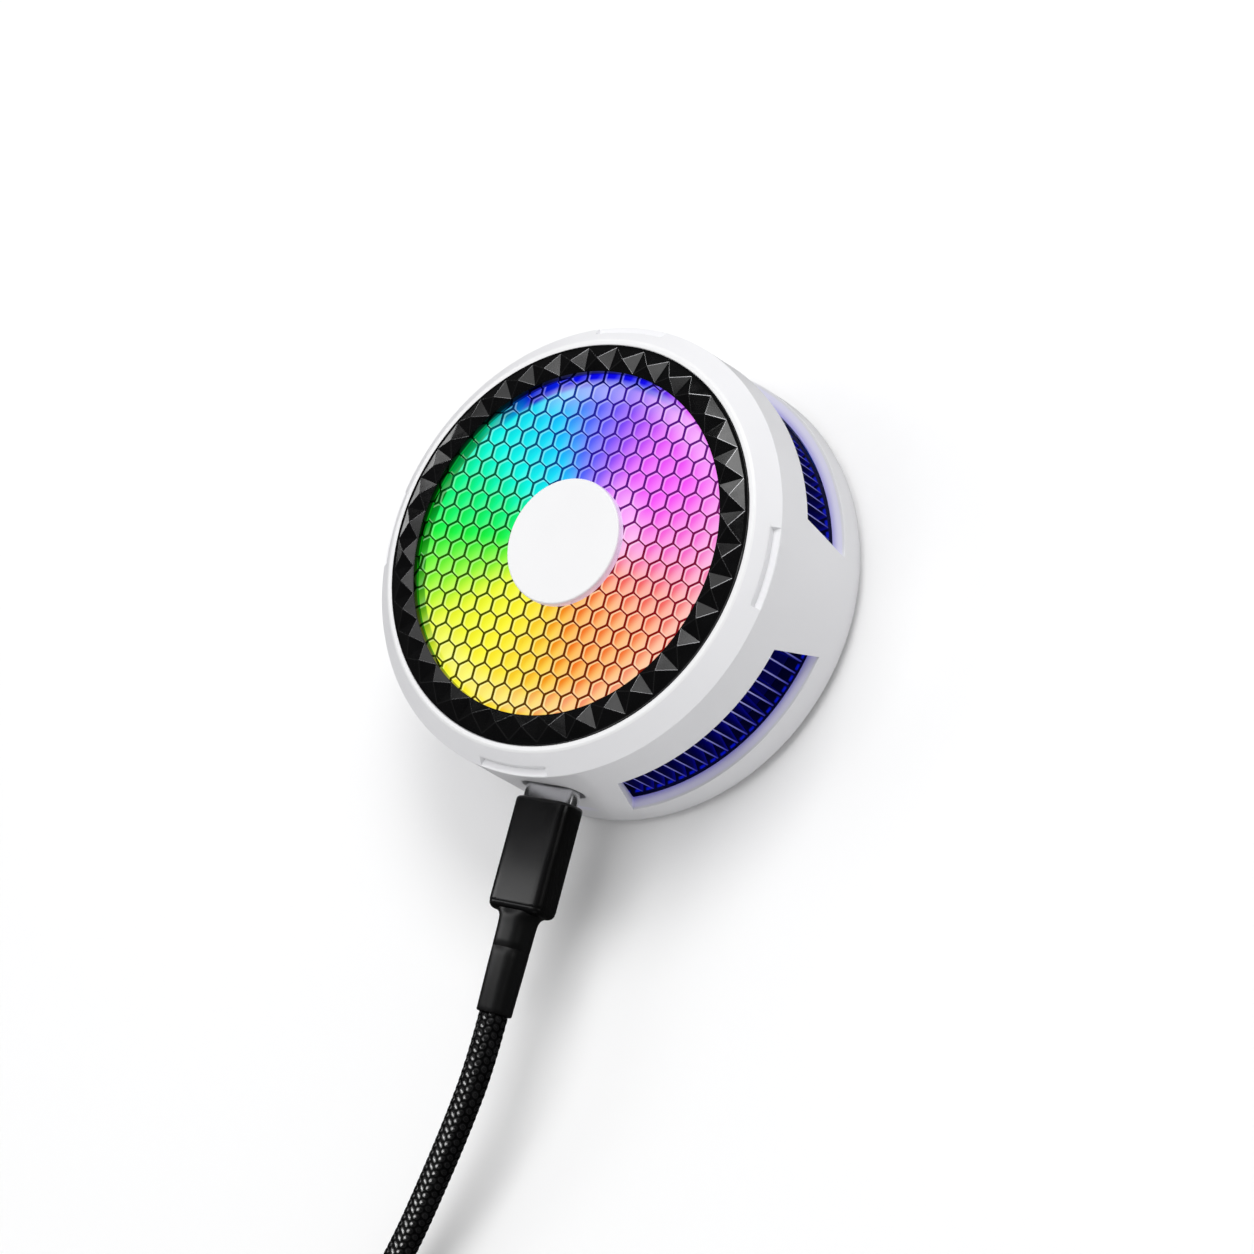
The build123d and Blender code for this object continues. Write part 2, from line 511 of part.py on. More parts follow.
# coil: columns 17.6, 21.3 and 25.0 from its middle, four layers, wound anticlockwise
R_COIL = 25.0
left = (-math.sin(head_end), math.cos(head_end))
LEAD_IN = 15.0
touch = (end[0] + LEAD_IN * math.cos(head_end), end[1] + LEAD_IN * math.sin(head_end))
COIL = (touch[0] + R_COIL * left[0], touch[1] + R_COIL * left[1])
print("coil centre", COIL, "touch", touch, "end", end, "heading", math.degrees(head_end))
r_in, r_out = 17.6 - RC, R_COIL + RC
z_lo, z_hi = 0.5, 0.5 + 4 * CABLE_D
coil = turned([(r_in, z_lo + 1.2), (r_in + 1.2, z_lo), (r_out - 1.2, z_lo), (r_out, z_lo + 1.2),
               (r_out, z_hi - 1.2), (r_out - 1.2, z_hi), (r_in + 1.2, z_hi), (r_in, z_hi - 1.2)])
coil = Pos(COIL[0], COIL[1], 0) * coil
lead_plane = Plane(origin=(end[0], end[1], Z_FLOOR), z_dir=(math.cos(head_end), math.sin(head_end), 0))
coil += extrude(lead_plane * Circle(RC), LEAD_IN + 1.0)
# the tail leaves the top layer and comes down beside the coil
TAIL_A = 258.0
exit_pt = (COIL[0] + R_COIL * math.cos(math.radians(TAIL_A)), COIL[1] + R_COIL * math.sin(math.radians(TAIL_A)))
exit_h = math.radians(TAIL_A + 90)
Z_TOP = 0.5 + 3.5 * CABLE_D
LEAD_OUT = 14.0
out_pt = (exit_pt[0] + LEAD_OUT * math.cos(exit_h), exit_pt[1] + LEAD_OUT * math.sin(exit_h))
out_plane = Plane(origin=(out_pt[0], out_pt[1], Z_TOP), z_dir=(-math.cos(exit_h), -math.sin(exit_h), 0))
coil += extrude(out_plane * Circle(RC), LEAD_OUT + 1.0)
save(coil, "cable_coil")

FAR_T, FAR_W, FAR_L = 7.8, 15.6, 19.0
zf = FAR_T / 2
tail = [(out_pt[0], out_pt[1], Z_TOP)]
h0 = exit_h
pos = list(tail[0])
for d, turn, dz in ((7.5, 0, 0.0), (9.0, 20, -2.3), (9.5, 24, -3.9), (9.5, 24, -2.6), (8.5, 22, -0.75), (7.5, 8, 0.0)):
    h0 += math.radians(turn)
    pos = [pos[0] + d * math.cos(h0), pos[1] + d * math.sin(h0), pos[2] + dz]
    tail.append(tuple(pos))
tail[-1] = (tail[-1][0], tail[-1][1], zf)
tail_tube, tail_path = cable(tail, "cable_tail")
save(tail_tube, "cable_tail")
print("tail points", [tuple(round(v, 2) for v in q) for q in tail])
hd = math.degrees(h0)

# tie round the coil's section
TIE_A = 20.0
tie_out = make_face(Polyline((r_in - 0.5, 0, 0.0), (r_out + 0.5, 0, 0.0), (r_out + 0.5, 0, z_hi + 0.5), (r_in - 0.5, 0, z_hi + 0.5), close=True))
tie_in = make_face(Polyline((r_in, 0, 0.5), (r_out, 0, 0.5), (r_out, 0, z_hi), (r_in, 0, z_hi), close=True))
tie = revolve(tie_out - tie_in, Axis.Z, 14)
save(Pos(COIL[0], COIL[1], 0) * (around(TIE_A - 7) * tie), "coil_tie")

# far plug: relief, overmould and shell in line with the tail
place = Pos(tail[-1][0], tail[-1][1], zf) * Rot(0, 0, hd)
px = Plane(origin=(0, 0, 0), x_dir=(0, 1, 0), z_dir=(1, 0, 0))
far_relief = loft([px * Circle(2.3), px.offset(12.0) * Circle(2.9)])
save(place * far_relief, "far_strain_relief")
far_over = extrude(px.offset(12.0) * RectangleRounded(FAR_W, FAR_T, 1.8), FAR_L)
far_over = fillet(far_over.edges().filter_by_position(Axis.X, 11.99, 12.01), 1.2)
save(place * far_over, "far_plug_overmould")
far_shell = extrude(px.offset(12.0 + FAR_L) * RectangleRounded(12.0, 4.5, 0.3), 12.0)
far_shell -= extrude(px.offset(12.0 + FAR_L - 0.1) * RectangleRounded(11.4, 3.9, 0.2), 12.3)
save(place * far_shell, "far_plug_shell")
far_tongue = place * (Pos(12.0 + FAR_L + 5.5, 0, 1.0) * Box(11.0, 11.3, 1.8))
save(far_tongue, "far_plug_tongue")

print("cable length", round(run_path.length + tail_path.length, 1))
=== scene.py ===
"""Round magnetic phone cooler with a studded ring, a lit honeycomb grille, finned windows
and a braided USB lead: the visual model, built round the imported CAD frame.

Helpers work in millimetres in the frame's own axes; meshes are stored in metres.
"""
import math
import random

import bpy
import bmesh
import numpy as np
from mathutils import Matrix, Vector, geometry


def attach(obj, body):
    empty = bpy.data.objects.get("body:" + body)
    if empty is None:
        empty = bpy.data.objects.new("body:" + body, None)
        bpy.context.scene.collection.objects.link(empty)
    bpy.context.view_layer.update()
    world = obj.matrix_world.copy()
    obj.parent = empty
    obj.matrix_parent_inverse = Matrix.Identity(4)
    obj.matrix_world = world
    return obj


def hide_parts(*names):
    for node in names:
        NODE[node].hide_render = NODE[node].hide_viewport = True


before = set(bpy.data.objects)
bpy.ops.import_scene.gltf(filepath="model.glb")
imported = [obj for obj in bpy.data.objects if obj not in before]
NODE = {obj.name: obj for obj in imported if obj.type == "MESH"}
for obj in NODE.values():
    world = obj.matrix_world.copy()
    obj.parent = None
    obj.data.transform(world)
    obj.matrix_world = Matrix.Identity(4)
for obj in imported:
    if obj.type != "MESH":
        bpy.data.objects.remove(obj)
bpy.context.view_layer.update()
SCENE = bpy.context.scene
K = 0.001
random.seed(7)
SCENE.view_settings.view_transform = "Standard"
SCENE.view_settings.look = "None"

# ------------------------------------------------------------------ camera
cam = bpy.data.cameras.new("view_camera")
cam.sensor_width = 36.0
cam.sensor_fit = "HORIZONTAL"
cam.lens = 86.12
cam.clip_start, cam.clip_end = 0.01, 20.0
camera = bpy.data.objects.new("view_camera", cam)
SCENE.collection.objects.link(camera)
cx, cy, cz = (0.81473, 0.25168, -0.52237), (-0.10121, 0.94879, 0.29926), (0.57094, -0.19095, 0.79848)
camera.matrix_world = Matrix((
    (cx[0], cy[0], cz[0], 0.22670),
    (cx[1], cy[1], cz[1], -0.08157),
    (cx[2], cy[2], cz[2], 0.32238),
    (0, 0, 0, 1)))
SCENE.camera = camera

# ------------------------------------------------------------------ mesh helpers


def finish_mesh(name, bm, body, replaces=(), mats=(), sharp=35, weighted=True, merge=1e-7):
    """Turns a bmesh in metres into a piece that rides on a body."""
    bmesh.ops.remove_doubles(bm, verts=bm.verts, dist=merge)
    loose = [v for v in bm.verts if not v.link_faces]
    if loose:
        bmesh.ops.delete(bm, geom=loose, context="VERTS")
    bmesh.ops.recalc_face_normals(bm, faces=bm.faces)
    me = bpy.data.meshes.new(name)
    bm.to_mesh(me)
    bm.free()
    for m in mats:
        me.materials.append(m)
    me.shade_smooth()
    me.set_sharp_from_angle(angle=math.radians(sharp))
    ob = bpy.data.objects.new(name, me)
    SCENE.collection.objects.link(ob)
    if weighted:
        wn = ob.modifiers.new("weighted", "WEIGHTED_NORMAL")
        wn.keep_sharp = True
        wn.weight = 50
    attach(ob, body)
    if replaces:
        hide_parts(*replaces)
    return ob


def add_verts(bm, points):
    return [bm.verts.new((x * K, y * K, z * K)) for x, y, z in points]


def add_face(bm, vs, mat=0):
    seen = []
    for v in vs:
        if v not in seen:
            seen.append(v)
    if len(seen) < 3:
        return None
    try:
        f = bm.faces.new(seen)
    except ValueError:
        return None
    f.material_index = mat
    return f


def bridge(bm, a, b, closed=True, mat=0):
    """Quads between two rows of vertices of the same length."""
    n = len(a)
    for k in range(n if closed else n - 1):
        m = (k + 1) % n
        add_face(bm, (a[k], a[m], b[m], b[k]), mat)


def polar(r, deg, z):
    t = math.radians(deg)
    return (r * math.cos(t), r * math.sin(t), z)


def rounded(points, radii, steps=3, closed=True):
    """Corners of a 2-D outline rounded to arcs; radii is a number or one per corner."""
    n = len(points)
    if not isinstance(radii, (list, tuple)):
        radii = [radii] * n
    out = []
    for i, p in enumerate(points):
        if not closed and i in (0, n - 1) or radii[i] <= 0:
            out.append(tuple(p))
            continue
        P = Vector((p[0], p[1]))
        A, B = Vector(points[i - 1][:2]), Vector(points[(i + 1) % n][:2])
        u, v = (A - P), (B - P)
        lu, lv = u.length, v.length
        u, v = u / lu, v / lv
        half = math.acos(max(-1.0, min(1.0, u.dot(v)))) / 2
        if half > math.radians(88):
            out.append(tuple(p))
            continue
        t = min(radii[i] / math.tan(half), 0.48 * lu, 0.48 * lv)
        r = t * math.tan(half)
        w = (u + v).normalized()
        c = P + w * (r / math.sin(half))
        s, e = P + u * t - c, P + v * t - c
        a0, a1 = math.atan2(s.y, s.x), math.atan2(e.y, e.x)
        d = (a1 - a0 + math.pi) % (2 * math.pi) - math.pi
        for k in range(steps + 1):
            a = a0 + d * k / steps
            out.append((c.x + r * math.cos(a), c.y + r * math.sin(a)))
    return out


def lathe(bm, profile, n=160, mat=0, a0=0.0, a1=360.0, mats=None, closed=True):
    """Turns a closed (radius, height) outline about Z."""
    full = abs(a1 - a0 - 360) < 1e-6
    cols = n if full else n + 1
    rings = []
    for k in range(cols):
        a = a0 + (a1 - a0) * k / n
        rings.append(add_verts(bm, [polar(r, a, z) for r, z in profile]))
    m = len(profile)
    for k in range(n):
        a, b = rings[k], rings[(k + 1) % cols]
        for j in range(m if closed else m - 1):
            j2 = (j + 1) % m
            if profile[j][0] < 1e-6 and profile[j2][0] < 1e-6:
                continue
            add_face(bm, (a[j], b[j], b[j2], a[j2]), mats[j] if mats else mat)
    if not full and closed:
        add_face(bm, rings[0][::-1], mat)
        add_face(bm, rings[-1], mat)
    return rings


# ------------------------------------------------------------------ material helpers


class Mat:
    """A node material with short ways to add texture nodes."""

    def __init__(self, name):
        self.m = bpy.data.materials.new(name)
        self.m.use_nodes = True
        self.t = self.m.node_tree
        self.t.nodes.clear()
        self.out = self.t.nodes.new("ShaderNodeOutputMaterial")
        self.b = self.t.nodes.new("ShaderNodeBsdfPrincipled")
        self.link(self.b.outputs["BSDF"], self.out.inputs["Surface"])
        self._obj = None

    def node(self, kind, **kw):
        n = self.t.nodes.new(kind)
        for k, v in kw.items():
            setattr(n, k, v)
        return n

    def link(self, a, b):
        self.t.links.new(a, b)

    def set(self, **kw):
        for k, v in kw.items():
            self.b.inputs[k.replace("_", " ")].default_value = v

    def obj(self):
        if self._obj is None:
            self._obj = self.node("ShaderNodeTexCoord").outputs["Object"]
        return self._obj

    def math(self, op, a, b=None, c=None, clamp=False):
        n = self.node("ShaderNodeMath", operation=op, use_clamp=clamp)
        for i, v in enumerate((a, b, c)):
            if v is None:
                continue
            if isinstance(v, (int, float)):
                n.inputs[i].default_value = v
            else:
                self.link(v, n.inputs[i])
        return n.outputs[0]

    def noise(self, scale, detail=3.0, rough=0.55, coord=None, distortion=0.0):
        n = self.node("ShaderNodeTexNoise")
        n.inputs["Scale"].default_value = scale
        n.inputs["Detail"].default_value = detail
        n.inputs["Roughness"].default_value = rough
        n.inputs["Distortion"].default_value = distortion
        self.link(coord or self.obj(), n.inputs["Vector"])
        return n.outputs["Fac"]

    def ramp(self, fac, stops, mode="LINEAR"):
        n = self.node("ShaderNodeValToRGB")
        cr = n.color_ramp
        cr.interpolation = mode
        while len(cr.elements) > 1:
            cr.elements.remove(cr.elements[0])
        first = True
        for pos, col in stops:
            e = cr.elements[0] if first else cr.elements.new(pos)
            e.position = pos
            e.color = tuple(col) + (1.0,) if len(col) == 3 else tuple(col)
            first = False
        self.link(fac, n.inputs["Fac"])
        return n.outputs["Color"]

    def remap(self, v, a, b, c=0.0, d=1.0, smooth=False):
        n = self.node("ShaderNodeMapRange", interpolation_type="SMOOTHSTEP" if smooth else "LINEAR")
        n.inputs["From Min"].default_value, n.inputs["From Max"].default_value = a, b
        n.inputs["To Min"].default_value, n.inputs["To Max"].default_value = c, d
        self.link(v, n.inputs["Value"])
        return n.outputs["Result"]

    def mix(self, fac, a, b, kind="MIX"):
        n = self.node("ShaderNodeMix", data_type="RGBA", blend_type=kind)
        for sock, v in ((n.inputs[0], fac), (n.inputs[6], a), (n.inputs[7], b)):
            if isinstance(v, (int, float)):
                sock.default_value = v
            elif isinstance(v, (tuple, list)):
                sock.default_value = tuple(v) + (1.0,) if len(v) == 3 else tuple(v)
            else:
                self.link(v, sock)
        return n.outputs[2]

    def bump(self, height, strength=0.3, distance=0.00002):
        n = self.node("ShaderNodeBump")
        n.inputs["Strength"].default_value = strength
        n.inputs["Distance"].default_value = distance
        self.link(height, n.inputs["Height"])
        self.link(n.outputs["Normal"], self.b.inputs["Normal"])
        return n

    def to(self, out, name):
        self.link(out, self.b.inputs[name])


def plastic(name, col, rough=0.4, grain=0.12, grain_mm=0.12, mottle=0.02, spec=0.5, coat=0.0, edge_shade=0.0):
    """Moulded plastic: fine spark-eroded grain and a faint unevenness of tone and gloss."""
    m = Mat(name)
    big = m.noise(90.0, 3.0)
    lo = tuple(c * (1 - mottle) for c in col)
    hi = tuple(min(1.0, c * (1 + mottle)) for c in col)
    tone = m.ramp(big, ((0.3, lo), (0.7, hi)))
    if edge_shade:   # painted shade: faces that do not point up are darkened (those along X a little less), so the broad top faces look paler than the rounded edges and sides
        geo = m.node("ShaderNodeNewGeometry")
        sp = m.node("ShaderNodeSeparateXYZ")
        m.link(geo.outputs["Normal"], sp.inputs[0])
        flat = m.math("MAXIMUM", m.remap(sp.outputs[2], 0.75, 0.98, 0.0, 1.0, True), m.remap(m.math("ABSOLUTE", sp.outputs[0]), 0.8, 0.99, 0.0, 0.35, True))
        tone = m.mix(flat, m.mix(1.0, tone, (edge_shade,) * 3, "MULTIPLY"), tone)
    m.to(tone, "Base Color")
    m.to(m.remap(m.noise(260.0, 4.0), 0.3, 0.7, rough * 0.9, min(1.0, rough * 1.12)), "Roughness")
    m.set(Specular_IOR_Level=spec)
    if coat:
        m.set(Coat_Weight=coat, Coat_Roughness=0.08)
    fine = m.noise(1.0 / (grain_mm * K), 2.0)
    m.bump(fine, grain, 0.00001)
    return m


def metal(name, col, rough=0.3, brushed=None, grain=0.15):
    """Metal with a brushed or tumbled finish. brushed is None, 'ring' or an axis to stretch along."""
    m = Mat(name)
    m.set(Metallic=1.0)
    if brushed == "ring":
        sep = m.node("ShaderNodeSeparateXYZ")
        m.link(m.obj(), sep.inputs[0])
        rr = m.math("SQRT", m.math("ADD", m.math("MULTIPLY", sep.outputs[0], sep.outputs[0]),
                                   m.math("MULTIPLY", sep.outputs[1], sep.outputs[1])))
        comb = m.node("ShaderNodeCombineXYZ")
        m.link(m.math("MULTIPLY", rr, 9000.0), comb.inputs[0])
        tex = m.node("ShaderNodeTexNoise")
        tex.inputs["Scale"].default_value = 1.0
        tex.inputs["Detail"].default_value = 4.0
        m.link(comb.outputs[0], tex.inputs["Vector"])
        fine = tex.outputs["Fac"]
    else:
        mp = m.node("ShaderNodeMapping")
        s = {"X": (60, 5000, 5000), "Y": (5000, 60, 5000), "Z": (5000, 5000, 60), None: (2500, 2500, 2500)}[brushed]
        mp.inputs["Scale"].default_value = s
        m.link(m.obj(), mp.inputs["Vector"])
        tex = m.node("ShaderNodeTexNoise")
        tex.inputs["Scale"].default_value = 1.0
        tex.inputs["Detail"].default_value = 4.0
        m.link(mp.outputs["Vector"], tex.inputs["Vector"])
        fine = tex.outputs["Fac"]
    m.to(m.ramp(fine, ((0.25, tuple(c * 0.86 for c in col)), (0.75, col))), "Base Color")
    m.to(m.remap(fine, 0.2, 0.8, rough * 0.75, rough * 1.3), "Roughness")
    m.bump(fine, grain, 0.000006)
    return m


# the rainbow behind the grille, by direction round the drum (degrees from +X, anticlockwise)
def lin(r, g, b):
    f = lambda c: c / 12.92 if c <= 0.04045 else ((c + 0.055) / 1.055) ** 2.4
    return (f(r / 255), f(g / 255), f(b / 255))


RAINBOW = (
    (-180, lin(30, 246, 80)), (-162, lin(158, 250, 68)), (-145, lin(238, 252, 62)), (-120, lin(252, 248, 60)),
    (-95, lin(252, 226, 70)), (-70, lin(252, 190, 92)), (-42, lin(252, 190, 130)), (-18, lin(252, 175, 165)),
    (2, lin(252, 158, 225)), (30, lin(250, 112, 250)), (55, lin(238, 118, 252)), (78, lin(158, 102, 250)),
    (97, lin(104, 134, 251)), (113, lin(28, 212, 252)), (140, lin(6, 248, 232)), (160, lin(8, 247, 150)),
    (180, lin(30, 246, 80)),
)
# the same light, seen on the dark struts between the cells
STRUT_HUES = (
    (-180, lin(6, 116, 6)), (-150, lin(72, 104, 0)), (-120, lin(100, 90, 0)), (-90, lin(110, 68, 0)),
    (-60, lin(142, 38, 0)), (-30, lin(170, 20, 12)), (0, lin(152, 12, 70)), (30, lin(130, 26, 148)),
    (60, lin(104, 22, 168)), (90, lin(46, 26, 190)), (110, lin(0, 76, 178)), (130, lin(0, 100, 138)),
    (150, lin(0, 112, 68)), (180, lin(6, 116, 6)),
)


def rainbow(m, struts=False):
    """Colour and the radius (mm) and angle (0 to 1) it is read at, from the place in the frame."""
    geo = m.node("ShaderNodeNewGeometry")
    sep = m.node("ShaderNodeSeparateXYZ")
    m.link(geo.outputs["Position"], sep.inputs[0])
    x, y = sep.outputs[0], sep.outputs[1]
    ang = m.math("ARCTAN2", y, x)
    turn = m.math("MULTIPLY_ADD", ang, 1 / (2 * math.pi), 0.5)
    rad = m.math("MULTIPLY", m.math("SQRT", m.math("ADD", m.math("MULTIPLY", x, x), m.math("MULTIPLY", y, y))), 1000.0)
    col = m.ramp(turn, [((a + 180) / 360.0, c) for a, c in (STRUT_HUES if struts else RAINBOW)])
    # the shaded rim: a deep blue band at the top, a thin dark edge at the left
    stops = lambda pairs: [((a + 180) / 360.0, (v, v, v)) for a, v in pairs]
    top = m.ramp(turn, stops(((-180, 0), (56, 0), (76, 1), (124, 1), (140, 0), (180, 0))))
    left = m.ramp(turn, stops(((-180, 0.9), (-152, 0.75), (-128, 0), (126, 0), (146, 0.9), (180, 0.9))))
    deep = lin(5, 5, 110) if struts else m.ramp(turn, [((a + 180) / 360.0, c) for a, c in (
        (-180, lin(12, 14, 236)), (70, lin(24, 14, 236)), (104, lin(8, 12, 238)), (135, lin(4, 60, 190)), (180, lin(4, 60, 190)))])
    col = m.mix(m.math("MULTIPLY", m.remap(rad, 21.5, 22.3, 0.0, 1.0, True), top), col, deep)
    col = m.mix(m.math("MULTIPLY", m.remap(rad, 22.5, 22.72, 0.0, 1.0, True), left), col, m.mix(1.0, col, (0.03, 0.34, 0.10), "MULTIPLY"))
    return col, rad, turn, sep.outputs[2]


# ------------------------------------------------------------------ the lead: one spline from plug to plug
CABLE_D = 3.7
ROUTE = [
    (0.0, -59.7, 11.8), (0.0, -66.2, 11.8), (-1.5, -73.2, 10.9), (-4.0, -80.6, 9.2),
    (-8.0, -91.0, 6.6), (-13.2, -101.6, 4.3), (-18.6, -112.4, 2.75), (-22.2, -124.0, 2.35),
    (-24.344, -134.789, 2.35),
]
COIL = (-2.748, -154.375)
COLUMNS = (25.0, 21.3, 17.6)
LAYERS = (2.35, 6.05, 9.75, 13.45)
# (angle, column, layer) where the winding changes from one place to the next
STEPS = [
    (168.76, 0, 0), (483, 0, 0), (528, 1, 0), (843, 1, 0), (888, 2, 0),
    (1158, 2, 0), (1203, 2, 1), (1518, 2, 1), (1563, 1, 1), (1878, 1, 1), (1923, 0, 1),
    (2193, 0, 1), (2238, 0, 2), (2553, 0, 2), (2598, 1, 2), (2913, 1, 2), (2958, 2, 2),
    (3228, 2, 2), (3273, 2, 3), (3318, 1, 3), (3590, 1, 3), (3640, 0, 3), (3858, 0, 3),
]
TAIL = [(5.75, -181.74, 13.45), (13.08, -183.3, 13.45), (22.0, -182.05, 11.15), (30.05, -177.01, 7.25),
        (35.37, -169.14, 4.65), (37.13, -160.82, 3.9), (37.66, -153.34, 3.9)]
TAIL_HEADING = 86.0


def winding():
    pts = []
    a_start, a_end = STEPS[0][0], STEPS[-1][0]
    count = round((a_end - a_start) / 20.0)
    swell = 0.75 + 0.25 * math.cos(math.radians((a_end - a_start) / count))
    for i in range(count + 1):
        a = a_start + (a_end - a_start) * i / count
        for (p, c0, l0), (q, c1, l1) in zip(STEPS, STEPS[1:]):
            if p <= a <= q or (q, c1, l1) == STEPS[-1]:
                u = min(1.0, max(0.0, (a - p) / (q - p)))
                break
        u = u * u * (3 - 2 * u)
        r = COLUMNS[c0] + (COLUMNS[c1] - COLUMNS[c0]) * u
        z = LAYERS[l0] + (LAYERS[l1] - LAYERS[l0]) * u
        t = math.radians(a)
        pts.append((COIL[0] + r / swell * math.cos(t), COIL[1] + r / swell * math.sin(t), z))
    return pts


wound = winding()
ROUTE_ALL = ROUTE + [(-25.9, -142.3, 2.35)] + wound + [(-1.0, -180.3, 13.45)] + TAIL


def spline_points(points):
    """Points along the NURBS spline that has these control points."""
    cu = bpy.data.curves.new("route", "CURVE")
    cu.dimensions = "3D"
    cu.resolution_u = 12
    sp = cu.splines.new("NURBS")
    sp.points.add(len(points) - 1)
    for p, (x, y, z) in zip(sp.points, points):
        p.co = (x * K, y * K, z * K, 1.0)
    sp.order_u = 3
    sp.use_endpoint_u = True
    ob = bpy.data.objects.new("route", cu)
    SCENE.collection.objects.link(ob)
    me = bpy.data.meshes.new_from_object(ob.evaluated_get(bpy.context.evaluated_depsgraph_get()))
    out = [v.co.copy() / K for v in me.vertices]
    bpy.data.objects.remove(ob)
    bpy.data.curves.remove(cu)
    bpy.data.meshes.remove(me)
    return out


def walk(points, spots):
    """Places on a polyline at the given distances from its start."""
    out, i, done = [], 0, 0.0
    seg = (points[1] - points[0]).length
    for s in spots:
        while s > done + seg and i < len(points) - 2:
            done += seg
            i += 1
            seg = (points[i + 1] - points[i]).length
        u = 0 if seg < 1e-9 else (s - done) / seg
        out.append(points[i].lerp(points[i + 1], min(1.0, max(0.0, u))))
    return out


line = spline_points(ROUTE_ALL)
CORD_LEN = sum((b - a).length for a, b in zip(line, line[1:]))
FINE_LEN = 118.0
spots = []
s = 0.0
while s < CORD_LEN:
    spots.append(s)
    s += 0.17 if s < FINE_LEN else 1.05
spots.append(CORD_LEN)
centre = walk(line, spots)
AROUND = 48
BRAID_PITCH, BRAID_COLS = 1.06, 12


def braid_height(s, ang):
    """Height in mm of a braid's crossing strands over the cable's mean surface."""
    best = -1.0
    col = ang / (2 * math.pi) * BRAID_COLS
    for c in (math.floor(col), math.floor(col) + 1):
        d = col - c
        off = 0.5 * (c % 2)
        row = s / BRAID_PITCH - off
        e = row - round(row)
        lean = 0.22 if c % 2 else -0.22
        e2 = e - lean * d
        h = 1.0 - (d / 0.80) ** 2 - (e2 / 0.47) ** 2
        best = max(best, h)
    return 0.10 * max(best, -0.35) if best < 0 else 0.13 * math.sqrt(best)


bm = bmesh.new()
uv = bm.loops.layers.uv.new("braid")
rows = []
tangent = (centre[1] - centre[0]).normalized()
side = tangent.cross(Vector((0, 0, 1))).normalized()
for i, c in enumerate(centre):
    nxt = centre[min(i + 1, len(centre) - 1)]
    prv = centre[max(i - 1, 0)]
    t = (nxt - prv).normalized()
    side = (side - t * side.dot(t)).normalized()
    up = side.cross(t).normalized()
    row = []
    s = spots[i]
    fade = 1.0 if s < FINE_LEN - 4 else max(0.0, (FINE_LEN - s) / 4.0)
    for k in range(AROUND):
        a = 2 * math.pi * k / AROUND
        h = braid_height(s, a) if fade > 0 else 0.0
        r = CABLE_D / 2 - 0.07 + h * fade + (1 - fade) * 0.04
        p = c + (side * math.cos(a) + up * math.sin(a)) * r
        row.append(bm.verts.new(p * K))
    rows.append(row)
for i in range(len(rows) - 1):
    for k in range(AROUND):
        m = (k + 1) % AROUND
        f = bm.faces.new((rows[i][k], rows[i][m], rows[i + 1][m], rows[i + 1][k]))
        for lp, (u, v) in zip(f.loops, ((k, i), (k + 1, i), (k + 1, i + 1), (k, i + 1))):
            lp[uv].uv = (u / AROUND * BRAID_COLS, spots[v] / BRAID_PITCH)
bm.faces.new(rows[0][::-1])
bm.faces.new(rows[-1])

m = Mat("braid_black")
uvn = m.node("ShaderNodeUVMap", uv_map="braid")
sepb = m.node("ShaderNodeSeparateXYZ")
m.link(uvn.outputs["UV"], sepb.inputs[0])
U, V = sepb.outputs[0], sepb.outputs[1]
# crossing strands: columns staggered by half a pitch
parity = m.math("MODULO", m.math("ROUND", U), 2.0)
du = m.math("SUBTRACT", U, m.math("ROUND", U))
vv = m.math("SUBTRACT", V, m.math("MULTIPLY", parity, 0.5))
dv = m.math("SUBTRACT", vv, m.math("ROUND", vv))
lean = m.math("MULTIPLY_ADD", parity, 0.44, -0.22)
dv2 = m.math("SUBTRACT", dv, m.math("MULTIPLY", lean, du))
hh = m.math("SUBTRACT", 1.0, m.math("ADD", m.math("POWER", m.math("ABSOLUTE", m.math("DIVIDE", du, 0.56)), 2.0),
                                    m.math("POWER", m.math("ABSOLUTE", m.math("DIVIDE", dv2, 0.5)), 2.0)))
height = m.math("MAXIMUM", hh, 0.0)
# yarn filaments along each strand
fil = m.math("SINE", m.math("MULTIPLY", m.math("ADD", du, m.math("MULTIPLY", dv, 0.5)), 46.0))
cell = m.node("ShaderNodeTexWhiteNoise", noise_dimensions="2D")
comb = m.node("ShaderNodeCombineXYZ")
m.link(m.math("ROUND", U), comb.inputs[0])
m.link(m.math("ROUND", vv), comb.inputs[1])
m.link(comb.outputs[0], cell.inputs["Vector"])
base = m.ramp(cell.outputs["Value"], ((0.0, (0.0020, 0.0020, 0.0022)), (0.8, (0.0042, 0.0042, 0.0046)), (1.0, (0.009, 0.009, 0.0096))))
# painted light: the strand crowns a little paler (painted highlight), the gaps between strands darker (painted shade)
crown_highlight = m.math("POWER", height, 2.5, clamp=True)
base = m.mix(m.math("MULTIPLY", crown_highlight, 0.4), base, (0.010, 0.010, 0.011))
gap_shade = m.remap(height, 0.0, 0.25, 0.25, 1.0)
m.to(m.mix(1.0, base, m.mix(gap_shade, (0.1, 0.1, 0.1), (1, 1, 1)), "MULTIPLY"), "Base Color")
m.to(m.remap(height, 0.1, 0.9, 0.50, 0.23), "Roughness")
m.to(m.remap(height, 0.25, 0.75, 0.02, 0.55, True), "Specular IOR Level")
m.bump(m.math("ADD", m.math("MULTIPLY", height, 1.0), m.math("MULTIPLY", fil, 0.06)), 0.55, 0.00012)
BRAID = m.m
cable = finish_mesh("braided_lead", bm, "lead", ("cable_run", "cable_coil", "cable_tail"),
                    (BRAID,), sharp=180, weighted=False)

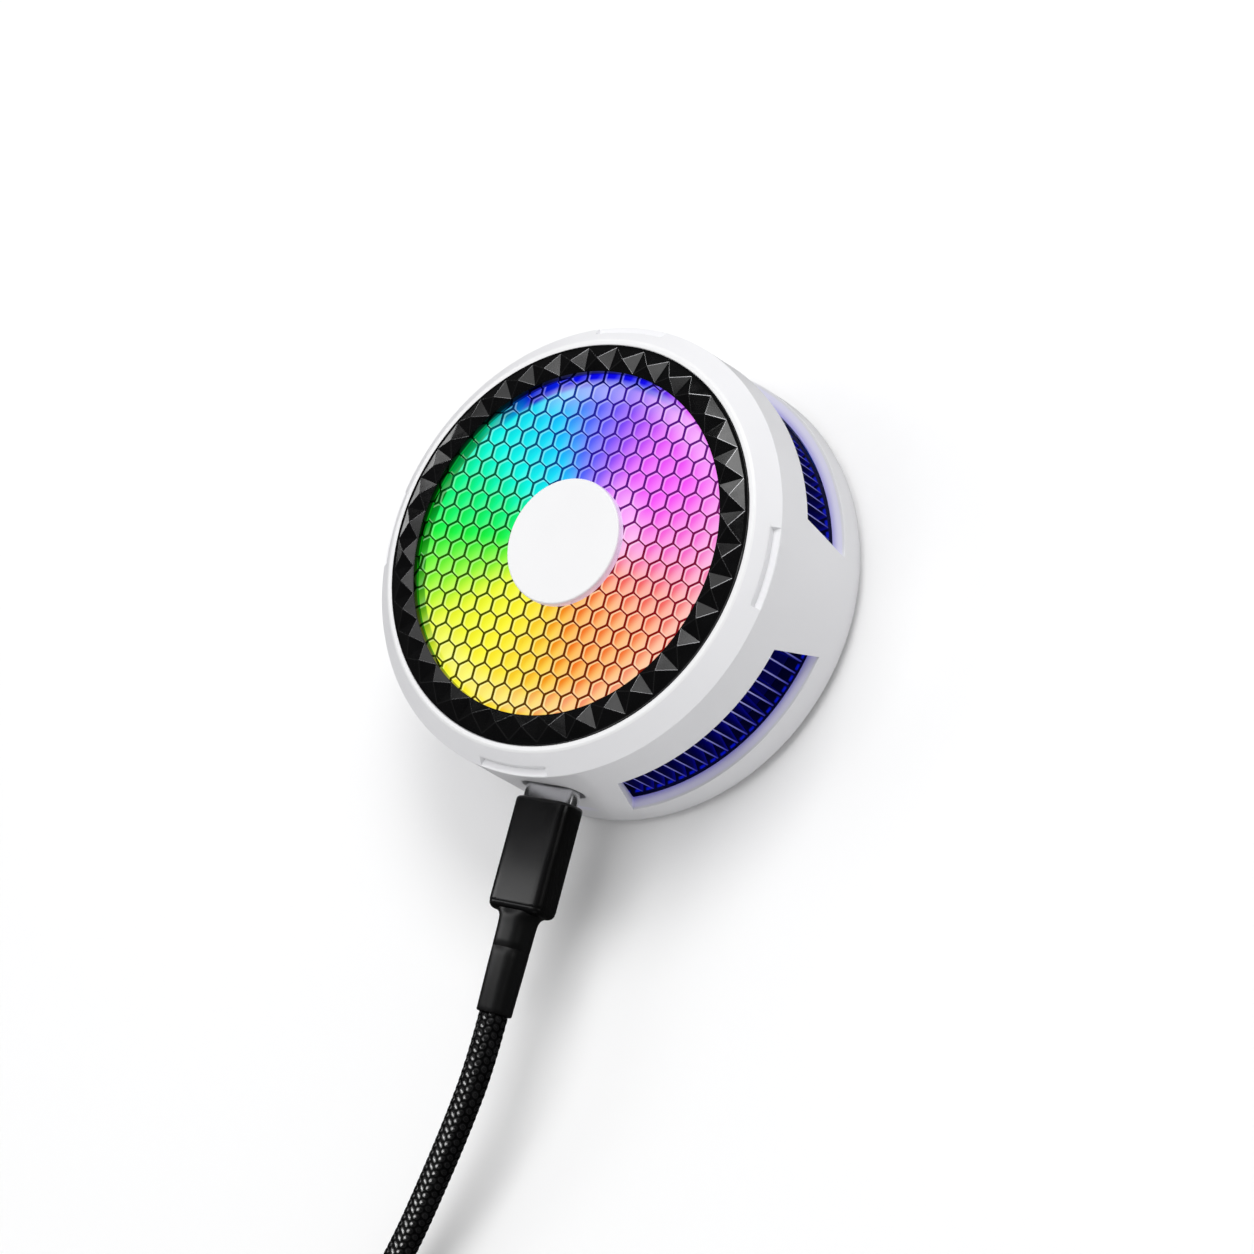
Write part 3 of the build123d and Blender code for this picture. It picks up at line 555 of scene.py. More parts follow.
# ------------------------------------------------------------------ plastics and metals
WHITE = Mat("housing_white")
m = WHITE
sep = m.node("ShaderNodeSeparateXYZ")
m.link(m.obj(), sep.inputs[0])
rad = m.math("MULTIPLY", m.math("SQRT", m.math("ADD", m.math("MULTIPLY", sep.outputs[0], sep.outputs[0]),
                                               m.math("MULTIPLY", sep.outputs[1], sep.outputs[1]))), 1000.0)
zmm = m.math("MULTIPLY", sep.outputs[2], 1000.0)
body_col = m.ramp(m.noise(55.0, 2.0), ((0.3, (0.835, 0.835, 0.856)), (0.7, (0.862, 0.862, 0.882))))
# painted light: the blue light from the vents painted into the housing, as a lavender tint on the cut faces inside the
# windows, and a paler lavender tint with a faint blue glow on the window sills
fin_light_tint = m.math("MULTIPLY", m.remap(rad, 30.3, 29.3, 0.0, 1.0, True),
                   m.math("MULTIPLY", m.remap(zmm, 4.9, 5.3, 0.0, 1.0), m.remap(zmm, 15.6, 15.2, 0.0, 1.0)))
# the socket's recess stays white
side_x = m.remap(m.math("MULTIPLY", m.math("ABSOLUTE", sep.outputs[0]), 1000.0), 7.4, 8.0)
fin_light_tint = m.math("MULTIPLY", fin_light_tint, m.math("MAXIMUM", side_x, m.math("GREATER_THAN", sep.outputs[1], 0.0)))
sill = m.math("MULTIPLY", m.remap(rad, 30.9, 30.4), m.math("MULTIPLY", m.remap(zmm, 4.9, 5.3), m.remap(zmm, 6.7, 6.2)))
sill_light_col = m.mix(sill, body_col, (0.83, 0.82, 0.98))
m.to(m.mix(fin_light_tint, sill_light_col, (0.60, 0.58, 0.90)), "Base Color")
spill = m.math("MULTIPLY", sill, m.remap(rad, 29.95, 29.3, 0.0, 1.0, True))
m.to(m.mix(spill, m.mix(sill, (0.0, 0.0, 0.0), (0.06, 0.056, 0.10)), (0.02, 0.015, 0.15)), "Emission Color")
m.set(Emission_Strength=1.0)
m.to(m.remap(m.noise(180.0, 4.0), 0.3, 0.7, 0.36, 0.44), "Roughness")
m.bump(m.noise(9000.0, 2.0), 0.10, 0.00001)
WHITE = WHITE.m

LIP = plastic("lip_white", (0.89, 0.89, 0.90), 0.30, 0.06, 0.10, 0.01).m
m = plastic("cap_white", (0.885, 0.885, 0.895), 0.36, 0.07, 0.10, 0.01)
geo = m.node("ShaderNodeNewGeometry")
sepn, sepz = m.node("ShaderNodeSeparateXYZ"), m.node("ShaderNodeSeparateXYZ")
m.link(geo.outputs["True Normal"], sepn.inputs[0])
m.link(geo.outputs["Position"], sepz.inputs[0])
# painted light: a pink-violet glow on the cap's side wall, strongest at its foot, standing for the grille's light
# falling on it
flank = m.math("MULTIPLY", m.remap(sepn.outputs[2], 0.85, 0.35), m.remap(sepz.outputs[2], 0.0240, 0.0229, 0.35, 1.0))
m.to(m.mix(flank, (0.0, 0.0, 0.0), (0.24, 0.17, 0.34)), "Emission Color")
m.set(Emission_Strength=1.0)
CAPM = m.m
COVER = plastic("cover_white", (0.80, 0.80, 0.82), 0.5, 0.25, 0.16, 0.02).m
SILVER = metal("connector_steel", (0.80, 0.80, 0.82), 0.17, "Y", 0.10).m
ZINC = metal("steel_zinc", (0.66, 0.66, 0.68), 0.34, None, 0.2).m
STAMPED = metal("steel_stamped", (0.50, 0.51, 0.53), 0.42, "Z", 0.25).m
NICKEL = metal("magnet_nickel", (0.72, 0.71, 0.70), 0.2, None, 0.1).m
COLD = metal("cold_metal", (0.83, 0.84, 0.86), 0.28, "ring", 0.22).m
BRONZE = metal("bronze", (0.66, 0.47, 0.28), 0.4, None, 0.2).m

m = Mat("stud_black")
m.to(m.ramp(m.noise(400.0, 3.0), ((0.3, (0.0018, 0.0018, 0.0021)), (0.7, (0.0032, 0.0032, 0.0036)))), "Base Color")
m.to(m.remap(m.noise(700.0, 3.0), 0.3, 0.7, 0.12, 0.20), "Roughness")
m.set(Specular_IOR_Level=0.75)
m.bump(m.noise(7000.0, 2.0), 0.05, 0.000008)
STUD = m.m

m = Mat("stud_edge")
m.to(m.ramp(m.noise(500.0, 3.0), ((0.3, (0.30, 0.30, 0.31)), (0.7, (0.46, 0.46, 0.47)))), "Base Color")
m.to(m.remap(m.noise(700.0, 3.0), 0.3, 0.7, 0.18, 0.28), "Roughness")
m.set(Metallic=1.0)
m.bump(m.noise(7000.0, 2.0), 0.05, 0.000008)
STUD_EDGE = m.m

# the ring's inner wall: green and blue painted into its metal colour by angle, brightest at its foot, a painted
# reflection of the grille's light
m = Mat("stud_wall")
m.set(Metallic=1.0)
m.to(m.remap(m.noise(700.0, 3.0), 0.3, 0.7, 0.07, 0.12), "Roughness")
geo = m.node("ShaderNodeNewGeometry")
sepw = m.node("ShaderNodeSeparateXYZ")
m.link(geo.outputs["Position"], sepw.inputs[0])
aim = m.math("MULTIPLY_ADD", m.math("ARCTAN2", sepw.outputs[1], sepw.outputs[0]), 1 / (2 * math.pi), 0.5)
hue = m.ramp(aim, [((a + 180) / 360.0, c) for a, c in (
    (-180, (0.02, 1.0, 0.10)), (-128, (0.10, 0.9, 0.06)), (-108, (0.3, 0.3, 0.1)), (40, (0.2, 0.2, 0.3)),
    (62, (0.05, 0.05, 1.0)), (122, (0.05, 0.10, 1.0)), (142, (0.02, 1.0, 0.35)), (180, (0.02, 1.0, 0.10)))])
m.to(m.mix(1.0, hue, m.ramp(m.remap(sepw.outputs[2], 0.0228, 0.0240), ((0.0, (0.42,) * 3), (0.30, (0.30,) * 3), (0.42, (0.04,) * 3), (0.9, (0.006,) * 3))), "MULTIPLY"), "Base Color")
STUD_WALL = m.m

# grille: dark struts with the grille's light painted on them as a coloured glow over a dim coloured base, and frosted
# dishes that carry the light
m = Mat("grille_dark")
col, rad, turn, zz = rainbow(m, True)
m.to(m.mix(1.0, col, (0.02, 0.02, 0.02), "MULTIPLY"), "Base Color")
m.to(col, "Emission Color")
m.set(Emission_Strength=0.62, Specular_IOR_Level=0.05)
m.to(m.remap(m.noise(900.0, 3.0), 0.3, 0.7, 0.28, 0.42), "Roughness")
m.bump(m.noise(8000.0, 2.0), 0.08, 0.000008)
STRUT = m.m


def lit(name, strength, pale, base, rough, cell=False):
    """Frosted plastic that glows with the rainbow. pale is how far it goes towards white, a painted highlight; cell
    adds painted shade across each honeycomb cell's width."""
    m = Mat(name)
    col, rad, turn, zz = rainbow(m)
    around = lambda pairs: m.ramp(turn, [((a + 180) / 360.0, (v, v, v)) for a, v in pairs])
    # painted highlights: a pale sheen on the cells of the outer ring and round the cap on its +X side, in the sectors
    # listed below
    sheen_sector = around(((-180, 0), (-150, 0), (-130, 0.45), (28, 0.45), (46, 0.9), (62, 0.9), (78, 0.5), (92, 0.8), (108, 0.9), (122, 0), (180, 0)))
    rim = m.math("MULTIPLY", m.math("MULTIPLY", m.remap(rad, 18.3, 21.6, 0.0, 0.29, True), m.remap(rad, 22.9, 22.3)), sheen_sector)
    hub = m.math("MULTIPLY", m.remap(rad, 12.6, 9.2, 0.0, 0.30, True), around(((-180, 0), (-20, 0), (6, 0.9), (34, 1), (62, 0.35), (90, 0), (180, 0))))
    white = m.math("ADD", m.math("ADD", rim, hub), pale)
    if cell:
        # painted shade: each cell deeper and more saturated towards its upper left, and paler towards its lower right
        # (painted highlight)
        uvn = m.node("ShaderNodeUVMap", uv_map="cell")
        sp = m.node("ShaderNodeSeparateXYZ")
        m.link(uvn.outputs["UV"], sp.inputs[0])
        across = m.math("SUBTRACT", m.math("MULTIPLY", sp.outputs[0], 0.85), m.math("MULTIPLY", sp.outputs[1], 0.55))
        white = m.math("ADD", white, m.remap(across, 0.0, 0.42, 0.0, 0.10))
        depth = around(((-180, 0.55), (-112, 0.55), (-84, 1), (-18, 1), (8, 0.75), (30, 0.6), (180, 0.6)))
        deep = m.mix(1.0, m.mix(1.0, col, col, "MULTIPLY"), m.mix(depth, (1.0, 1.0, 1.0), (0.94, 0.68, 0.92)), "MULTIPLY")
        col = m.mix(m.math("MULTIPLY", m.remap(across, -0.42, 0.12, 1.0, 0.0, True), depth), col, deep)
    glow = m.mix(white, col, (1.0, 1.0, 1.0))
    # painted light: the base colour is a dim copy of the glow
    glow_in_base = m.mix(1.0, glow, (base,) * 3, "MULTIPLY")
    m.to(glow, "Emission Color")
    m.set(Emission_Strength=strength, Specular_IOR_Level=0.12)
    m.to(glow_in_base, "Base Color")
    m.to(m.remap(m.noise(1200.0, 3.0), 0.3, 0.7, rough * 0.85, rough * 1.15), "Roughness")
    m.bump(m.noise(6000.0, 2.0), 0.06, 0.000008)
    return m.m


DISH = lit("grille_frost", 1.0, 0.0, 0.03, 0.45, cell=True)
# the cell walls: a paler copy of the dishes, a painted highlight where the walls catch the light
BEVEL = lit("grille_frost_edge", 1.0, 0.13, 0.03, 0.45)
ROTOR = plastic("impeller_frost", (0.50, 0.51, 0.56), 0.42, 0.15, 0.12, 0.03).m

# ------------------------------------------------------------------ main housing


def cone_r(z):
    return 30.45 + 0.80 * (21.15 - z) / 19.05


def facet_y(z):
    return -28.8 - (21.1 - z) * 0.12245


def soft_min(a, b, k):
    h = max(k - abs(a - b), 0.0) / k
    return min(a, b) - h * h * k * 0.25


def outer_r(th, z):
    r = cone_r(z)
    c = -math.sin(math.radians(th))
    if c > 0.5:
        r = soft_min(r, -facet_y(z) / c, 0.22)
    return r


def inner_r(th, z):
    r = 29.3
    c = -math.sin(math.radians(th))
    if c > 0.5:
        r = min(r, (-facet_y(z) - 1.55) / c)
    return r


ARC = math.pi / 180 * 31.0   # mm of arc to a degree
Z_LOW, Z_HIGH = 2.1, 20.60
NOTCHES = (0, 90, 180, 270)
cols = [-180 + 1.5 * k for k in range(240)]
edges_at = [((q + s + 180) % 360) - 180 for q in NOTCHES for s in (-10, 10)]
cols = [a for a in cols if all(abs((a - e + 180) % 360 - 180) > 0.7 for e in edges_at)]
for e in edges_at:
    cols += [((e - 0.13 + 180) % 360) - 180, ((e + 0.13 + 180) % 360) - 180]
cols = sorted(set(round(a, 4) for a in cols))
assert cols[0] == -180.0


def in_notch(a):
    return any(abs((a - q + 180) % 360 - 180) < 10.0 for q in NOTCHES)


WINDOWS = []
for q in (0, 90, 180, 270):
    lo_t, hi_t, lo_b, hi_b = 16.3, 67.6, 12.4, 73.8
    if q in (90, 270):
        lo_t, hi_t, lo_b, hi_b = 90 - 67.6, 90 - 16.3, 90 - 73.8, 90 - 12.4
    qq = q if q < 180 else q - 360
    WINDOWS.append([((qq + lo_b) * ARC, 5.7), ((qq + hi_b) * ARC, 5.7), ((qq + hi_t) * ARC, 14.9), ((qq + lo_t) * ARC, 14.9)])


def quad_outline(corners, off, rad=0.08, segs=(40, 6, 34, 6), steps=4):
    """A four-sided outline pushed outwards by off, its corners rounded."""
    c = [Vector(p) for p in corners]
    n = len(c)
    lines = []
    for i in range(n):
        a, b = c[i], c[(i + 1) % n]
        d = (b - a).normalized()
        nrm = Vector((d.y, -d.x))
        lines.append((a + nrm * off, d))
    pts = []
    for i in range(n):
        (p0, d0), (p1, d1) = lines[i - 1], lines[i]
        den = d0.x * d1.y - d0.y * d1.x
        t = ((p1.x - p0.x) * d1.y - (p1.y - p0.y) * d1.x) / den
        pts.append(p0 + d0 * t)
    out = []
    arcs = []
    for i in range(n):
        P, A, B = pts[i], pts[i - 1], pts[(i + 1) % n]
        u, v = (A - P).normalized(), (B - P).normalized()
        half = math.acos(u.dot(v)) / 2
        r = rad + off
        t = r / math.tan(half)
        w = (u + v).normalized()
        cc = P + w * (r / math.sin(half))
        s, e = P + u * t - cc, P + v * t - cc
        a0, a1 = math.atan2(s.y, s.x), math.atan2(e.y, e.x)
        d = (a1 - a0 + math.pi) % (2 * math.pi) - math.pi
        arcs.append([cc + Vector((math.cos(a0 + d * k / steps), math.sin(a0 + d * k / steps))) * r for k in range(steps + 1)])
    for i in range(n):
        out += arcs[i]
        a, b = arcs[i][-1], arcs[(i + 1) % n][0]
        for k in range(1, segs[i]):
            out.append(a.lerp(b, k / segs[i]))
    return [(p.x, p.y) for p in out]


def pill_outline(w, t, off, zc=11.8, arc=14, straight=8):
    """Pill of width w and height t round (0, zc) in the XZ plane, pushed outwards by off."""
    r = t / 2 + off
    h = w / 2 - t / 2
    out = []
    for cxx, a0 in ((h, -90), (-h, 90)):
        for k in range(arc + 1):
            a = math.radians(a0 + 180 * k / arc)
            out.append((cxx + r * math.cos(a), zc + r * math.sin(a)))
        for k in range(1, straight):
            s = 1 if a0 == -90 else -1
            out.append((s * (h - 2 * h * k / straight), zc + s * r))
    return out


def inside(poly, x, y):
    hit = False
    n = len(poly)
    j = n - 1
    for i in range(n):
        xi, yi = poly[i]
        xj, yj = poly[j]
        if (yi > y) != (yj > y) and x < (xj - xi) * (y - yi) / (yj - yi) + xi:
            hit = not hit
        j = i
    return hit


def skin(bm, radius, holes, fine):
    """Surface of the side wall between Z_LOW and Z_HIGH with holes in it, as triangles. holes are outlines in (arc mm, z)."""
    pts, edges = [], []

    def loop(ps, closed=True):
        i0 = len(pts)
        pts.extend(ps)
        n = len(ps)
        for i in range(n if closed else n - 1):
            edges.append((i0 + i, i0 + (i + 1) % n))

    xs = [a * ARC for a in cols] + [180 * ARC]
    zs = [Z_LOW + (Z_HIGH - Z_LOW) * k / 16 for k in range(17)]
    border = [(x, Z_LOW) for x in xs] + [(xs[-1], z) for z in zs[1:]] + [(x, Z_HIGH) for x in xs[-2::-1]] + [(xs[0], z) for z in zs[-2:0:-1]]
    loop(border)
    for h in holes:
        loop(h)
    grid = []
    step = 1.5
    x = -180 * ARC + step
    while x < 180 * ARC - step / 2:
        z = Z_LOW + 1.1
        while z < Z_HIGH - 0.5:
            grid.append((x, z))
            z += 1.2
        x += step
    if fine:
        grid = [g for g in grid if not (-112 * ARC < g[0] < -68 * ARC)]
        x = -112 * ARC
        while x < -68 * ARC:
            z = Z_LOW + 0.3
            while z < Z_HIGH - 0.2:
                grid.append((x, z))
                z += 0.37
            x += 0.42
    bounds = [(min(p[0] for p in h) - 0.5, max(p[0] for p in h) + 0.5, min(p[1] for p in h) - 0.5, max(p[1] for p in h) + 0.5) for h in holes]
    arrs = [np.array(h) for h in holes]
    for gx, gz in grid:
        ok = True
        for h, bd, arr in zip(holes, bounds, arrs):
            if bd[0] < gx < bd[1] and bd[2] < gz < bd[3]:
                near = np.min((arr[:, 0] - gx) ** 2 + (arr[:, 1] - gz) ** 2)
                if near < 0.10 or inside(h, gx, gz):
                    ok = False
                    break
        if ok:
            pts.append((gx, gz))
    res = geometry.delaunay_2d_cdt([Vector(p) for p in pts], edges, [], 0, 1e-6)
    vs, _, fs = res[0], res[1], res[2]
    made = [None] * len(vs)
    for f in fs:
        mx = sum(vs[i].x for i in f) / 3
        mz = sum(vs[i].y for i in f) / 3
        if any(bd[0] < mx < bd[1] and bd[2] < mz < bd[3] and inside(h, mx, mz) for h, bd in zip(holes, bounds)):
            continue
        tri = []
        for i in f:
            if made[i] is None:
                th = vs[i].x / ARC
                made[i] = bm.verts.new(Vector(polar(radius(th, vs[i].y), th, vs[i].y)) * K)
            tri.append(made[i])
        add_face(bm, tri)


def on_wall(outline, radius, sink):
    out = []
    for x, z in outline:
        th = x / ARC
        out.append(polar(radius(th, z) - sink, th, z))
    return out


bm = bmesh.new()
B, BP = 0.08, 0.15
PILL = (9.4, 3.9)
HOLE = (9.16, 3.32)
pill0 = pill_outline(*PILL, BP)
pill_arc = [(math.degrees(math.atan2(facet_y(z), x)) * ARC, z) for x, z in pill0]
hole_in = pill_outline(*HOLE, 0.0)
hole_arc = [(math.degrees(math.atan2(facet_y(z) + 1.55, x)) * ARC, z) for x, z in hole_in]
skin(bm, outer_r, [quad_outline(w, B) for w in WINDOWS] + [pill_arc], True)
skin(bm, inner_r, [quad_outline(w, 0.06) for w in WINDOWS] + [hole_arc], False)
for w in WINDOWS:
    rows = [on_wall(quad_outline(w, B), outer_r, 0.0), on_wall(quad_outline(w, B * 0.33), outer_r, B * 0.25),
            on_wall(quad_outline(w, 0.0), outer_r, B), on_wall(quad_outline(w, 0.0), outer_r, 0.9),
            [polar(29.42, x / ARC, z) for x, z in quad_outline(w, 0.0)],
            [polar(29.3, x / ARC, z) for x, z in quad_outline(w, 0.06)]]
    vrows = [add_verts(bm, r) for r in rows]
    for a, b in zip(vrows, vrows[1:]):
        bridge(bm, a, b)
# oval recess round the socket
rows = [
    [polar(outer_r(s / ARC, z), s / ARC, z) for s, z in pill_arc],
    [(x, facet_y(z) + BP * 0.25, z) for x, z in pill_outline(*PILL, BP * 0.33)],
    [(x, facet_y(z) + BP, z) for x, z in pill_outline(*PILL, 0.0)],
    [(x, -29.25, z) for x, z in pill_outline(*PILL, 0.0)],
    [(x, -29.15, z) for x, z in pill_outline(*PILL, -0.1)],
    [(x, -29.15, z) for x, z in pill_outline(*HOLE, 0.08)],
    [(x, -29.07, z) for x, z in pill_outline(*HOLE, 0.0)],
    [polar(inner_r(s / ARC, z), s / ARC, z) for s, z in hole_arc],
]
vrows = [add_verts(bm, r) for r in rows]
for a, b in zip(vrows, vrows[1:]):
    bridge(bm, a, b)
# shoulder, chamfer and notches
cham = lambda r: 21.02 + (30.456 - r) * 0.892
plain_mid = rounded([(cone_r(20.9), 20.9), (30.456, 21.02), (29.62, cham(29.62))], [0, 0.34, 0], 4, False)
top_rows = []
for a in cols:
    r1 = outer_r(a, Z_HIGH)
    rc = cone_r(Z_HIGH)
    w = rc - r1
    col_pts = [(r1, Z_HIGH), (rc - min(w, 0.12), Z_HIGH + (0.005 if w > 0.01 else 0.0)), (rc, Z_HIGH + 0.12)]
    if in_notch(a):
        col_pts += [(cone_r(20.85), 20.85), (30.44, 20.93), (30.37, 21.0), (30.1, 21.0), (29.8, 21.0), (29.55, 21.0),
                    (29.43, 21.03), (29.40, 21.12), (29.40, 21.85), (29.36, 21.95), (29.27, cham(29.27))]
    else:
        col_pts += list(plain_mid) + [(29.52, cham(29.52)), (29.45, cham(29.45)), (29.40, cham(29.40)), (29.27, cham(29.27))]
    col_pts += [(28.6, cham(28.6)), (28.02, cham(28.02)), (27.97, 23.226), (27.93, 23.19), (27.90, 22.25),
                (26.0, 22.2), (26.0, 21.3), (min(28.2, inner_r(a, 20.2) - 0.2), 21.3), (inner_r(a, Z_HIGH), Z_HIGH)]
    top_rows.append(add_verts(bm, [polar(r, a, z) for r, z in col_pts]))
n = len(top_rows)
assert len({len(r) for r in top_rows}) == 1, {len(r) for r in top_rows}
for k in range(n):
    a, b = top_rows[k], top_rows[(k + 1) % n]
    for j in range(len(a) - 1):
        add_face(bm, (a[j], b[j], b[j + 1], a[j + 1]))
low_rows = []
foot = rounded([(31.25, 2.1), (30.98, 1.05), (30.2, 0.8)], [0, 0.6, 0], 4, False)[1:]
for a in cols:
    pts = [(outer_r(a, Z_LOW), Z_LOW)] + foot + [(29.36, 0.8), (29.3, 0.86), (inner_r(a, Z_LOW), Z_LOW)]
    low_rows.append(add_verts(bm, [polar(r, a, z) for r, z in pts]))
for k in range(n):
    a, b = low_rows[k], low_rows[(k + 1) % n]
    for j in range(len(a) - 1):
        add_face(bm, (a[j], b[j], b[j + 1], a[j + 1]))
housing = finish_mesh("drum_housing", bm, "housing", ("main_housing",), (WHITE,), sharp=40, merge=2e-7)

# ------------------------------------------------------------------ lip
bm = bmesh.new()
lathe(bm, rounded([(27.05, 22.2), (27.985, 22.2), (27.985, 23.232), (27.66, 23.42), (27.15, 23.42), (27.05, 23.32)],
                  [0, 0, 0.03, 0.22, 0.07, 0.05], 4), 288)
finish_mesh("bezel_ring", bm, "housing", ("bezel_lip",), (LIP,))

# ------------------------------------------------------------------ studded ring
ZB = 23.3
STUDS, PHASE = 38, 23.3
bm = bmesh.new()
ring_prof = [(23.2, 22.82), (25.9, 22.8), (25.9, 22.22), (27.0, 22.22), (27.0, ZB + 0.30), (26.95, ZB + 0.35),
             (26.66, ZB + 0.33), (23.26, ZB + 0.70), (23.2, ZB + 0.68)]
lathe(bm, ring_prof, 304, mats=[0, 0, 0, 0, 0, 0, 0, 0, 1])
stud_bm = bmesh.new()
half = 180.0 / STUDS
base = [polar(23.32, -half, ZB + 0.74), polar(26.66, -half, ZB + 0.36), polar(26.66, half, ZB + 0.36), polar(23.32, half, ZB + 0.74)]
apex = Vector(polar(24.85, 0, ZB + 1.32))
av = stud_bm.verts.new(apex * K)
lv = [stud_bm.verts.new(Vector(p) * K) for p in base]
bv = [stud_bm.verts.new(Vector((p[0], p[1], p[2] - 0.30)) * K) for p in base]
for i in range(4):
    j = (i + 1) % 4
    stud_bm.faces.new((av, lv[i], lv[j]))
    stud_bm.faces.new((lv[i], bv[i], bv[j], lv[j]))
stud_bm.faces.new(bv[::-1])
bmesh.ops.recalc_face_normals(stud_bm, faces=stud_bm.faces)
ridges = [e for e in stud_bm.edges if av in e.verts]
bmesh.ops.bevel(stud_bm, geom=ridges + [av], offset=0.062 * K, segments=2, profile=0.5, affect="EDGES", clamp_overlap=False, material=2)
stud_bm.verts.ensure_lookup_table()
sv = [v.co.copy() for v in stud_bm.verts]
stud_bm.verts.index_update()
sf = [([v.index for v in f.verts], f.material_index) for f in stud_bm.faces]
for k in range(STUDS):
    rot = Matrix.Rotation(math.radians(PHASE + half + 2 * half * k), 4, "Z")
    vs = [bm.verts.new(rot @ c) for c in sv]
    for f, mi in sf:
        add_face(bm, [vs[i] for i in f], mi)
stud_bm.free()
finish_mesh("studded_ring", bm, "housing", ("stud_ring",), (STUD, STUD_WALL, STUD_EDGE), sharp=16, merge=1e-8)

# ------------------------------------------------------------------ honeycomb grille
P = 2.653
ZG = 22.8
bm = bmesh.new()


def hex_row(x, y, ap, cut, z, pull=0.0):
    """Eighteen points round a hexagon of apothem ap, its corners softened by pull."""
    out = []
    rc = ap * 2 / math.sqrt(3)
    for k in range(6):
        v = Vector((math.sin(math.radians(60 * k)), math.cos(math.radians(60 * k)))) * rc
        vp = Vector((math.sin(math.radians(60 * k - 60)), math.cos(math.radians(60 * k - 60)))) * rc
        vn = Vector((math.sin(math.radians(60 * k + 60)), math.cos(math.radians(60 * k + 60)))) * rc
        a = v + (vp - v).normalized() * cut
        b = v + (vn - v).normalized() * cut
        mid = v.lerp((a + b) / 2, pull)
        for q in (a, mid, b):
            out.append((x + q.x, y + q.y, z))
    return out


HP = P / 2
CELL = (  # apothem, corner cut, height below the top, corner pull, material of the band that starts here
    (HP, 0.16, 0.0, 0.0, 0), (HP - 0.062, 0.16, 0.0, 0.1, 0), (HP - 0.080, 0.17, -0.02, 0.3, 0),
    (HP - 0.090, 0.18, -0.31, 0.4, 1), (HP - 0.110, 0.20, -0.34, 0.5, 1), (HP - 0.145, 0.24, -0.47, 0.6, 1),
    (HP - 0.190, 0.26, -0.51, 0.7, 2), (HP - 0.32, 0.30, -0.54, 0.8, 2), (0.58, 0.22, -0.56, 0.9, 2),
    (0.25, 0.08, -0.565, 0.9, 2))
UNDER = ((HP, 0.16, -0.60, 0.0), (0.60, 0.16, -0.60, 0.0))
cell_uv = bm.loops.layers.uv.new("cell")


def has_cell(x, y):
    return 6.2 <= math.hypot(x, y) <= 24.6


for j in range(-12, 13):
    for i in range(-18, 19):
        x, y = P * (i + j / 2), P * j * math.sqrt(3) / 2
        if not has_cell(x, y):
            continue
        rows = [add_verts(bm, hex_row(x, y, ap, cut, ZG + dz, pull)) for ap, cut, dz, pull, _ in CELL]
        low = [add_verts(bm, hex_row(x, y, ap, cut, ZG + dz, pull)) for ap, cut, dz, pull in UNDER]
        made = []
        for q in range(len(rows) - 1):
            for k in range(18):
                m = (k + 1) % 18
                made.append(add_face(bm, (rows[q][k], rows[q][m], rows[q + 1][m], rows[q + 1][k]), CELL[q][4]))
        made.append(add_face(bm, rows[-1], 2))
        bridge(bm, low[0], low[1])
        add_face(bm, low[1][::-1])
        for k in range(6):   # outer flank where no cell follows
            t = math.radians(60 * k + 30)
            if not has_cell(x + P * math.sin(t), y + P * math.cos(t)):
                for q in range(3 * k + 1, 3 * k + 4):
                    add_face(bm, (rows[0][q % 18], rows[0][(q + 1) % 18], low[0][(q + 1) % 18], low[0][q % 18]))
        for f in made:
            for lp in f.loops if f else ():
                lp[cell_uv].uv = ((lp.vert.co.x / K - x) / P, (lp.vert.co.y / K - y) / P)
finish_mesh("honeycomb", bm, "housing", ("honeycomb_grille",), (STRUT, BEVEL, DISH), sharp=50, weighted=False, merge=5e-7)

# ------------------------------------------------------------------ centre cap
bm = bmesh.new()
lathe(bm, rounded([(0, 22.25), (6.2, 22.25), (6.2, 22.78), (8.5, 22.80), (8.5, 24.0), (0, 24.0)],
                  [0, 0, 0, 0.08, 0.26, 0], 5), 160)
finish_mesh("centre_disc", bm, "housing", ("centre_cap",), (CAPM,))

# ------------------------------------------------------------------ plug: overmould and strain relief


def section(w, t, r, steps=7):
    """Rounded rectangle outline in (x, z) about the origin."""
    return rounded([(-w / 2, -t / 2), (w / 2, -t / 2), (w / 2, t / 2), (-w / 2, t / 2)], r, steps)


bm = bmesh.new()
Y0, L = -31.6, 15.0
rows = []
W, T, R = 9.2, 5.0, 2.1
for y, shrink in ((0.0, 2.4), (0.0, 0.42), (0.08, 0.22), (0.22, 0.07), (0.45, 0.0), (1.6, 0.0), (4.5, 0.0), (8.0, 0.0), (11.5, 0.0),
                  (13.6, 0.0), (13.88, 0.0), (13.96, 0.05), (14.03, 0.08), (14.10, 0.07), (14.2, 0.06), (14.45, 0.14),
                  (14.75, 0.38), (14.93, 0.75), (15.0, 1.15)):
    rows.append(add_verts(bm, [(x, Y0 - y, 11.8 + z) for x, z in section(W - 2 * shrink, T - 2 * shrink, max(R - shrink, 0.1))]))
for a, b in zip(rows, rows[1:]):
    bridge(bm, a, b)
add_face(bm, rows[0][::-1])
add_face(bm, rows[-1])
# the grip gets painted shade on its faces that do not point up
OVER = plastic("overmould_black", (0.0065, 0.0065, 0.0070), 0.21, 0.08, 0.09, 0.05, spec=0.34, edge_shade=0.3).m
overmould = finish_mesh("plug_grip", bm, "lead", ("plug_overmould",), (OVER,), sharp=40)

